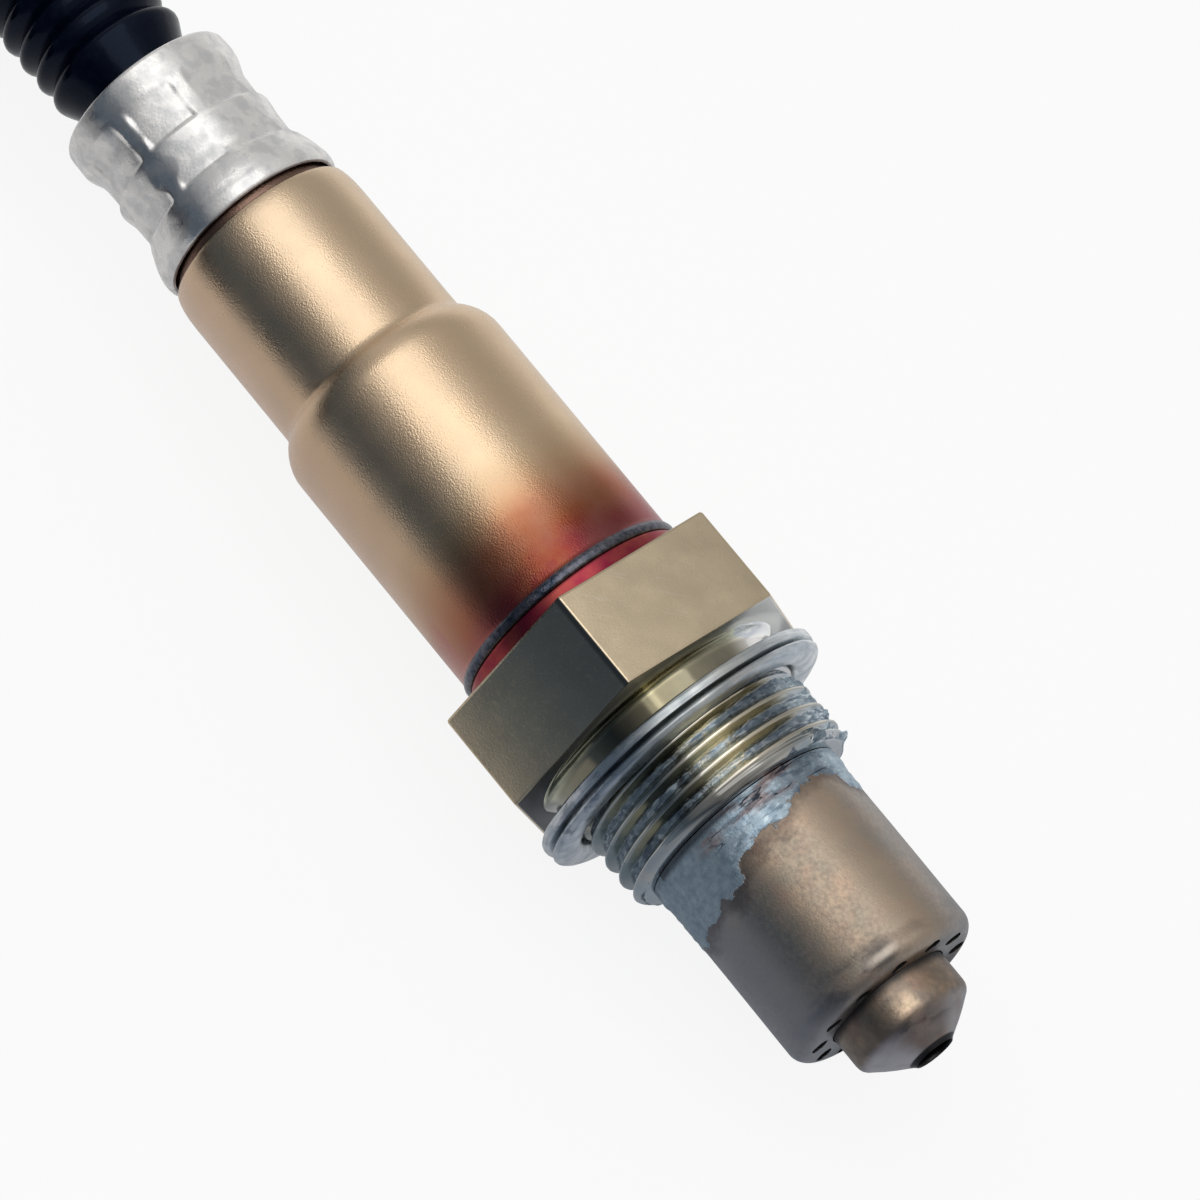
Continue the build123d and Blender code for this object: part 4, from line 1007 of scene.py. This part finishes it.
# Painted light and shade round the gasket: lightest on the right and at the left, darker across the front.
gasketPaintedLight = stops(
    place["Round"], (0.0, 0.75, 0.79, 0.84), (0.2, 0.7), (0.6, 1), (0.69, 0.85, 0.86, 0.88),
    (0.75, 0.66, 0.65, 0.63), (0.84, 0.62, 0.64, 0.64), (0.89, 0.6, 0.66, 0.72), (0.95, 0.95, 0.95, 0.97),
)
zinc = shade(zinc, gasketPaintedLight)
fine = streaks(place, 6.0, 0.45, 3.0)
zinc = shade(zinc, blend(ease(fine, 0.35, 0.62), (0.84, 0.86, 0.89), (1.1, 1.1, 1.09)))
# Blue-grey over the left of the gasket: paste there plus painted shade.
pasteAndShade = times(ease(crust, 0.5, 0.62), ease(place["Round"], 0.8, 0.9))
zinc = blend(pasteAndShade, zinc, (0.16, 0.2, 0.25), 0.6)
give(shader, "Base Color", zinc)
give(shader, "Roughness", plus(0.25, times(residue, 0.15)))
bump(shader, latheMarks(place, 5.0, 0.5), 0.04, 0.4)
dress(gasket, gasketSteel)

tubeSteel, shader, place = material("tubeSteel")
mottle = patches(place, 0.4, 0.5, 0.5, 5.0)
freckle = patches(place, 3.2, 0.45, 0.35, 4.0)
tone = blend(mottle, (0.49, 0.365, 0.265), (0.29, 0.275, 0.225))
copper = patches(place, 0.75, 0.36, 0.25, 5.0)
soot = effect(edgeGroup, place, Station=23.6, Softness=2.0, Reach=2.0, Scale=0.4)
scorch = times(ease(streaks(place, 0.7, 0.25, 5.0), 0.44, 0.58), between(place, 21.8, 23.2))
# Painted shade: the end face near the bore is nearly black, in the crease between the tube's end and the
# nose.
rim = times(between(place, 24.45, 24.66), ease(place["Radius"], 6.7, 5.9))
# Painted light: a lighter, cooler grey over the far left side.
tubeLeftLight = facing(place, 3.35, 0.35, 0.95)
# Painted highlight: a warm lighter band at the front right.
paintedSunnyBand = ease(facing(place, 1.5), 0.93, 1.0)
# Painted light: lighter grey on the right side.
litRightSide = facing(place, 0.7, 0.8, 1.0)
# Painted highlight: a warm bright streak at the front, just before the rounded end.
paintedHighlight = times(between(place, 23.2, 23.6), between(place, 24.1, 23.75), facing(place, 1.9, 0.975, 1.0))
paintedHighlight = times(paintedHighlight, plus(0.15, times(mottle, 0.35)))
# Painted shade: the hole walls and the inside of the tube's end are near black, with no metal or gloss.
wallShade = times(between(place, 24.645, 24.63), ease(place["Radius"], 6.62, 6.58))
grit = noiseAt(place, 3.0, 5.0)
pasteLevel = plus(pasteAt(shader), times(less(grit, 0.5), 0.9))
pasteMask = ease(pasteLevel, -0.05, 0.12)
tone = layered(
    tone, (copper, (0.42, 0.25, 0.19), 0.55), (freckle, (0.24, 0.205, 0.18), 0.42),
    (soot, (0.24, 0.21, 0.2), 0.4), (scorch, (0.09, 0.08, 0.08), 0.75), (rim, (0.07, 0.062, 0.06), 0.8),
    (tubeLeftLight, (0.47, 0.46, 0.47), 0.7), (paintedSunnyBand, (0.72, 0.56, 0.42), 0.42),
    (litRightSide, (0.56, 0.53, 0.51), 0.5), (paintedHighlight, (0.92, 0.8, 0.68)), (wallShade, (0.02, 0.018, 0.018)),
)
# Painted shadow: the tube darkens in a band just outside the edge of the paste.
tone = tinted(tone, ease(pasteLevel, -1.5, -0.15), (0.6, 0.58, 0.59))
pasteTone = blend(patches(place, 1.7, 0.45, 0.4, 4.0), (0.4, 0.52, 0.61), (0.62, 0.73, 0.8))
# The same painted light and shade round the part as on the thread's paste.
pasteTone = shadedRound(pasteTone, place, pastePaintedLight)
streak = streaks(place, 1.5, 0.3, 4.0)
crack = maths("ABSOLUTE", less(streaks(place, 1.1, 0.22, 6.0), 0.47))
upperFront = times(between(place, 11.3, 10.5), facing(place, 2.0, 0.76, 0.93))
rust = times(ease(streak, 0.44, 0.6), upperFront)
navy = streaks(place, 1.9, 0.7, 6.0)
cracked = facing(place, 1.6, 0.62, 0.85)
navy = times(ease(navy, 0.5, 0.6), plus(0.08, times(cracked, 0.5)))
pasteTone = blend(rust, pasteTone, (0.26, 0.15, 0.125), 0.75)
pasteTone = blend(navy, pasteTone, shade(pasteTone, (0.3, 0.35, 0.42)))
speck = times(ease(streaks(place, 4.0, 1.5, 4.0), 0.54, 0.62), plus(0.12, times(cracked, 0.4)))
pasteTone = blend(speck, pasteTone, shade(pasteTone, (1.7, 1.7, 1.65)))
shadow = times(between(place, 10.1, 9.6), ease(place["Round"], 0.82, 0.86))
torn = times(ease(crack, 0.022, 0.008), between(place, 11.9, 11.0), ease(streak, 0.42, 0.56))
torn = times(torn, facing(place, 1.75, 0.7, 0.85))
pasteTone = layered(pasteTone, (shadow, (0.06, 0.07, 0.085), 0.8), (torn, (0.02, 0.028, 0.045)))
give(shader, "Base Color", blend(pasteMask, tone, pasteTone))
bare = inverted(wallShade)
give(shader, "Metallic", times(inverted(times(pasteMask, 0.55)), bare))
give(shader, "Specular IOR Level", times(bare, 0.5))
give(shader, "Roughness", plus(0.38, times(freckle, 0.12), times(pasteMask, 0.08)))
under = bump(shader, times(grit, pasteMask), 0.1, 0.6)
bump(shader, noiseAt(place, 6.0, 3.0), 0.03, 0.4, under)
dress(outerShell, tubeSteel)

noseSteel, shader, place = material("noseSteel", Metallic=1.0)
mottle = patches(place, 0.8, 0.5, 0.5, 5.0)
tone = blend(mottle, (0.47, 0.35, 0.25), (0.22, 0.19, 0.165))
ember = patches(place, 0.55, 0.4, 0.3, 4.0)
freckle = patches(place, 2.4, 0.45, 0.35, 4.0)
cone = between(place, 27.2, 27.9)
stained = times(ease(streaks(place, 0.9, 0.4, 4.0), 0.43, 0.55), times(cone, between(place, 28.7, 27.9)))
# Painted light: the cone is lighter and lilac grey on the far left.
coneLeftLight = facing(place, 3.35, 0.35, 0.95)
# Painted light: the cone is lighter on the right side.
litRightSide = facing(place, 0.6, 0.55, 1.0)
# Painted highlight: a warm bright spot at the front of the nose, before the cone.
paintedHighlight = times(between(place, 25.6, 26.7), between(place, 27.3, 26.95), facing(place, 1.98, 0.965, 1.0))
paintedHighlight = times(paintedHighlight, less(0.55, times(freckle, 0.5)))
tone = layered(
    tone, (ember, (0.4, 0.24, 0.17), 0.6), (freckle, (0.2, 0.165, 0.14), 0.45),
    (cone, (0.19, 0.168, 0.172), 0.6), (stained, (0.055, 0.05, 0.055), 0.8),
    (times(coneLeftLight, times(cone, 0.8)), (0.74, 0.69, 0.69)),
    (times(litRightSide, times(cone, 0.5)), (0.62, 0.58, 0.57)), (paintedHighlight, (0.86, 0.66, 0.46)),
    (times(ember, times(cone, 0.45)), (0.3, 0.19, 0.14)),
    # Painted shade: near black round the tip hole and at the nose's foot next to the tube's end.
    (ease(place["Radius"], 1.95, 1.8), (0.035, 0.033, 0.035)),
    (between(place, 25.5, 24.7), (0.05, 0.045, 0.043)),
)
give(shader, "Base Color", tone)
give(shader, "Roughness", plus(0.32, times(mottle, 0.12)))
bump(shader, noiseAt(place, 6.0, 3.0), 0.03, 0.4)
dress(innerTube, noseSteel)


# Moulded or fired surface of the named parts: two close tones, fine pebbled relief.
def moulded(parts, name, low, high, roughness, grain, **settings):
    made, shader, place = material(name, **settings)
    patch = patches(place, 0.5, 0.5, 0.6)
    give(shader, "Base Color", blend(patch, low, high))
    give(shader, "Roughness", plus(roughness, times(patch, 0.08)))
    bump(shader, noiseAt(place, grain, 5.0), 0.05, 0.35)
    for part in parts.split():
        nodes[part].data.materials.clear()
        nodes[part].data.materials.append(made)


ceramics = "lower_ceramic upper_ceramic upper_contact_carrier lower_contact_carrier support_disc"
plugParts = "connector_cap connector_housing"
moulded(plugParts, "plugPlastic", (0.018, 0.018, 0.02), (0.026, 0.026, 0.028), 0.42, 4.0)
moulded("cable_tie", "tieNylon", (0.02, 0.02, 0.022), (0.03, 0.03, 0.032), 0.38, 3.0)
moulded("connector_seal wire_seal", "sealRubber", (0.42, 0.1, 0.05), (0.5, 0.13, 0.07), 0.5, 2.0)
moulded("terminal_lock", "lockPlastic", (0.24, 0.24, 0.25), (0.3, 0.3, 0.31), 0.42, 3.0)
wires = "connector_wires sensor_wires"
moulded(wires, "wireInsulation", (0.3, 0.3, 0.32), (0.36, 0.36, 0.38), 0.4, 2.0)
moulded(ceramics, "firedCeramic", (0.8, 0.77, 0.72), (0.86, 0.84, 0.79), 0.55, 2.0)
moulded("sensor_element", "elementCeramic", (0.74, 0.73, 0.7), (0.82, 0.81, 0.78), 0.4, 3.0)
moulded("talc_packing", "pressedTalc", (0.6, 0.59, 0.56), (0.7, 0.69, 0.66), 0.8, 3.0)
contacts = "connector_terminals contacts"
moulded(contacts, "platedContact", (0.68, 0.56, 0.36), (0.74, 0.62, 0.42), 0.25, 3.0, Metallic=1.0)
springs = "packing_ring carrier_clip"
moulded(springs, "springSteel", (0.56, 0.56, 0.56), (0.62, 0.62, 0.62), 0.3, 3.0, Metallic=1.0)
print("materials made")

# Floor: white to the camera, with the part's soft shadow. Mirrors in the metal see it glow instead with
# painted tones, dimmer near the camera: a painted reflection of the room.
floorLevel = -0.01152
floorCorners = [(-3, -3, floorLevel), (3, -3, floorLevel), (3, 3, floorLevel), (-3, 3, floorLevel)]
floorMesh = bpy.data.meshes.new("floor")
floorMesh.from_pydata(floorCorners, [], [(0, 1, 2, 3)])
floor = placed("floor", floorMesh)
floorPaint = bpy.data.materials.new("floorPaint")
floorPaint.use_nodes = True
t = floorPaint.node_tree
t.nodes.clear()
rays = put(t, "ShaderNodeLightPath").outputs
spot = put(t, "ShaderNodeSeparateXYZ", {0: put(t, "ShaderNodeTexCoord").outputs["Object"]}).outputs
side = ease(spot[1], -0.03, 0.03)
far = ease(spot[1], -0.06, -0.11)
alongPart = plus(times(spot[0], 10.0), 0.6)
leftMarks = (
    (0.0, 0.58, 0.58, 0.59), (0.3, 0.5, 0.5, 0.51), (0.58, 0.44, 0.44, 0.45), (0.7, 0.21, 0.235, 0.28)
)
nearRight = stops(alongPart, (0.0, 0.8), (0.6, 0.8), (0.72, 0.5, 0.53, 0.57))
onLeft = blend(far, stops(alongPart, *leftMarks), (0.11, 0.14, 0.18))
matt = put(t, "ShaderNodeBsdfDiffuse", {"Color": (0.82, 0.82, 0.82)}).outputs[0]
white = put(t, "ShaderNodeEmission", {"Color": (1, 1, 1), "Strength": 1.0}).outputs[0]
dim = {"Color": blend(side, onLeft, nearRight), "Strength": 1.0}
mirrored = put(t, "ShaderNodeEmission", dim).outputs[0]
seen = put(t, "ShaderNodeMixShader", {0: 0.89, 1: matt, 2: white}).outputs[0]
shown = put(t, "ShaderNodeMixShader", {0: rays["Is Camera Ray"], 1: matt, 2: seen}).outputs[0]
glossy = maths("MAXIMUM", rays["Is Glossy Ray"], rays["Is Transmission Ray"])
result = put(t, "ShaderNodeMixShader", {0: glossy, 1: shown, 2: mirrored}).outputs[0]
put(t, "ShaderNodeOutputMaterial", {"Surface": result})
floorMesh.materials.append(floorPaint)

# World: a soft studio, dark low down in front, grey behind, lit from above. The room's tones go
# by the angle round the part, in degrees, from straight towards the camera.
studio = {
    "room": (
        (-70, 0.12, 0.15, 0.19), (-40, 0.045, 0.065, 0.09), (-20, 0.19, 0.2, 0.22), (0, 0.42),
        (52, 0.64), (74, 0.43), (96, 0.41), (115, 0.55), (135, 0.75),
    ),
    "softboxAngle": 22,
    "softboxDistance": 0.9,
    "softboxSize": (1.6, 0.78),
    "softboxPower": 3.9,
}
towardsCamera = (0, -0.5, 0.866)
upInView = (0, 0.866, 0.5)
world = bpy.data.worlds.new("studio")
bpy.context.scene.world = world
world.use_nodes = True
t = world.node_tree
t.nodes.clear()
way = put(t, "ShaderNodeTexCoord").outputs["Generated"]
forward, aside = (
    put(t, "ShaderNodeVectorMath", {0: way, 1: axis}, operation="DOT_PRODUCT").outputs["Value"]
    for axis in (towardsCamera, upInView)
)
turn = plus(maths("DIVIDE", maths("ARCTAN2", aside, forward), 2 * pi), 0.5)
room = stops(turn, *((0.5 + degrees / 360, *tone) for degrees, *tone in studio["room"]))
lit = put(t, "ShaderNodeBackground", {"Color": room, "Strength": 1.0}).outputs[0]
clear = put(t, "ShaderNodeBackground", {"Color": (1, 1, 1), "Strength": 1.0}).outputs[0]
rays = put(t, "ShaderNodeLightPath").outputs
result = put(t, "ShaderNodeMixShader", {0: rays["Is Camera Ray"], 1: lit, 2: clear}).outputs[0]
put(t, "ShaderNodeOutputWorld", {"Surface": result})

softbox = bpy.data.lights.new("softbox", "AREA")
softbox.shape = "RECTANGLE"
softbox.size, softbox.size_y = studio["softboxSize"]
softbox.energy = studio["softboxPower"]
lamp = placed("softbox", softbox)
a = radians(studio["softboxAngle"])
lampWay = Vector(towardsCamera) * cos(a) + Vector(upInView) * sin(a)
lamp.location = lampWay * studio["softboxDistance"]
lamp.rotation_euler = lampWay.to_track_quat("Z", "Y").to_euler()
bpy.context.scene.view_settings.view_transform = "Standard"
print("studio made")
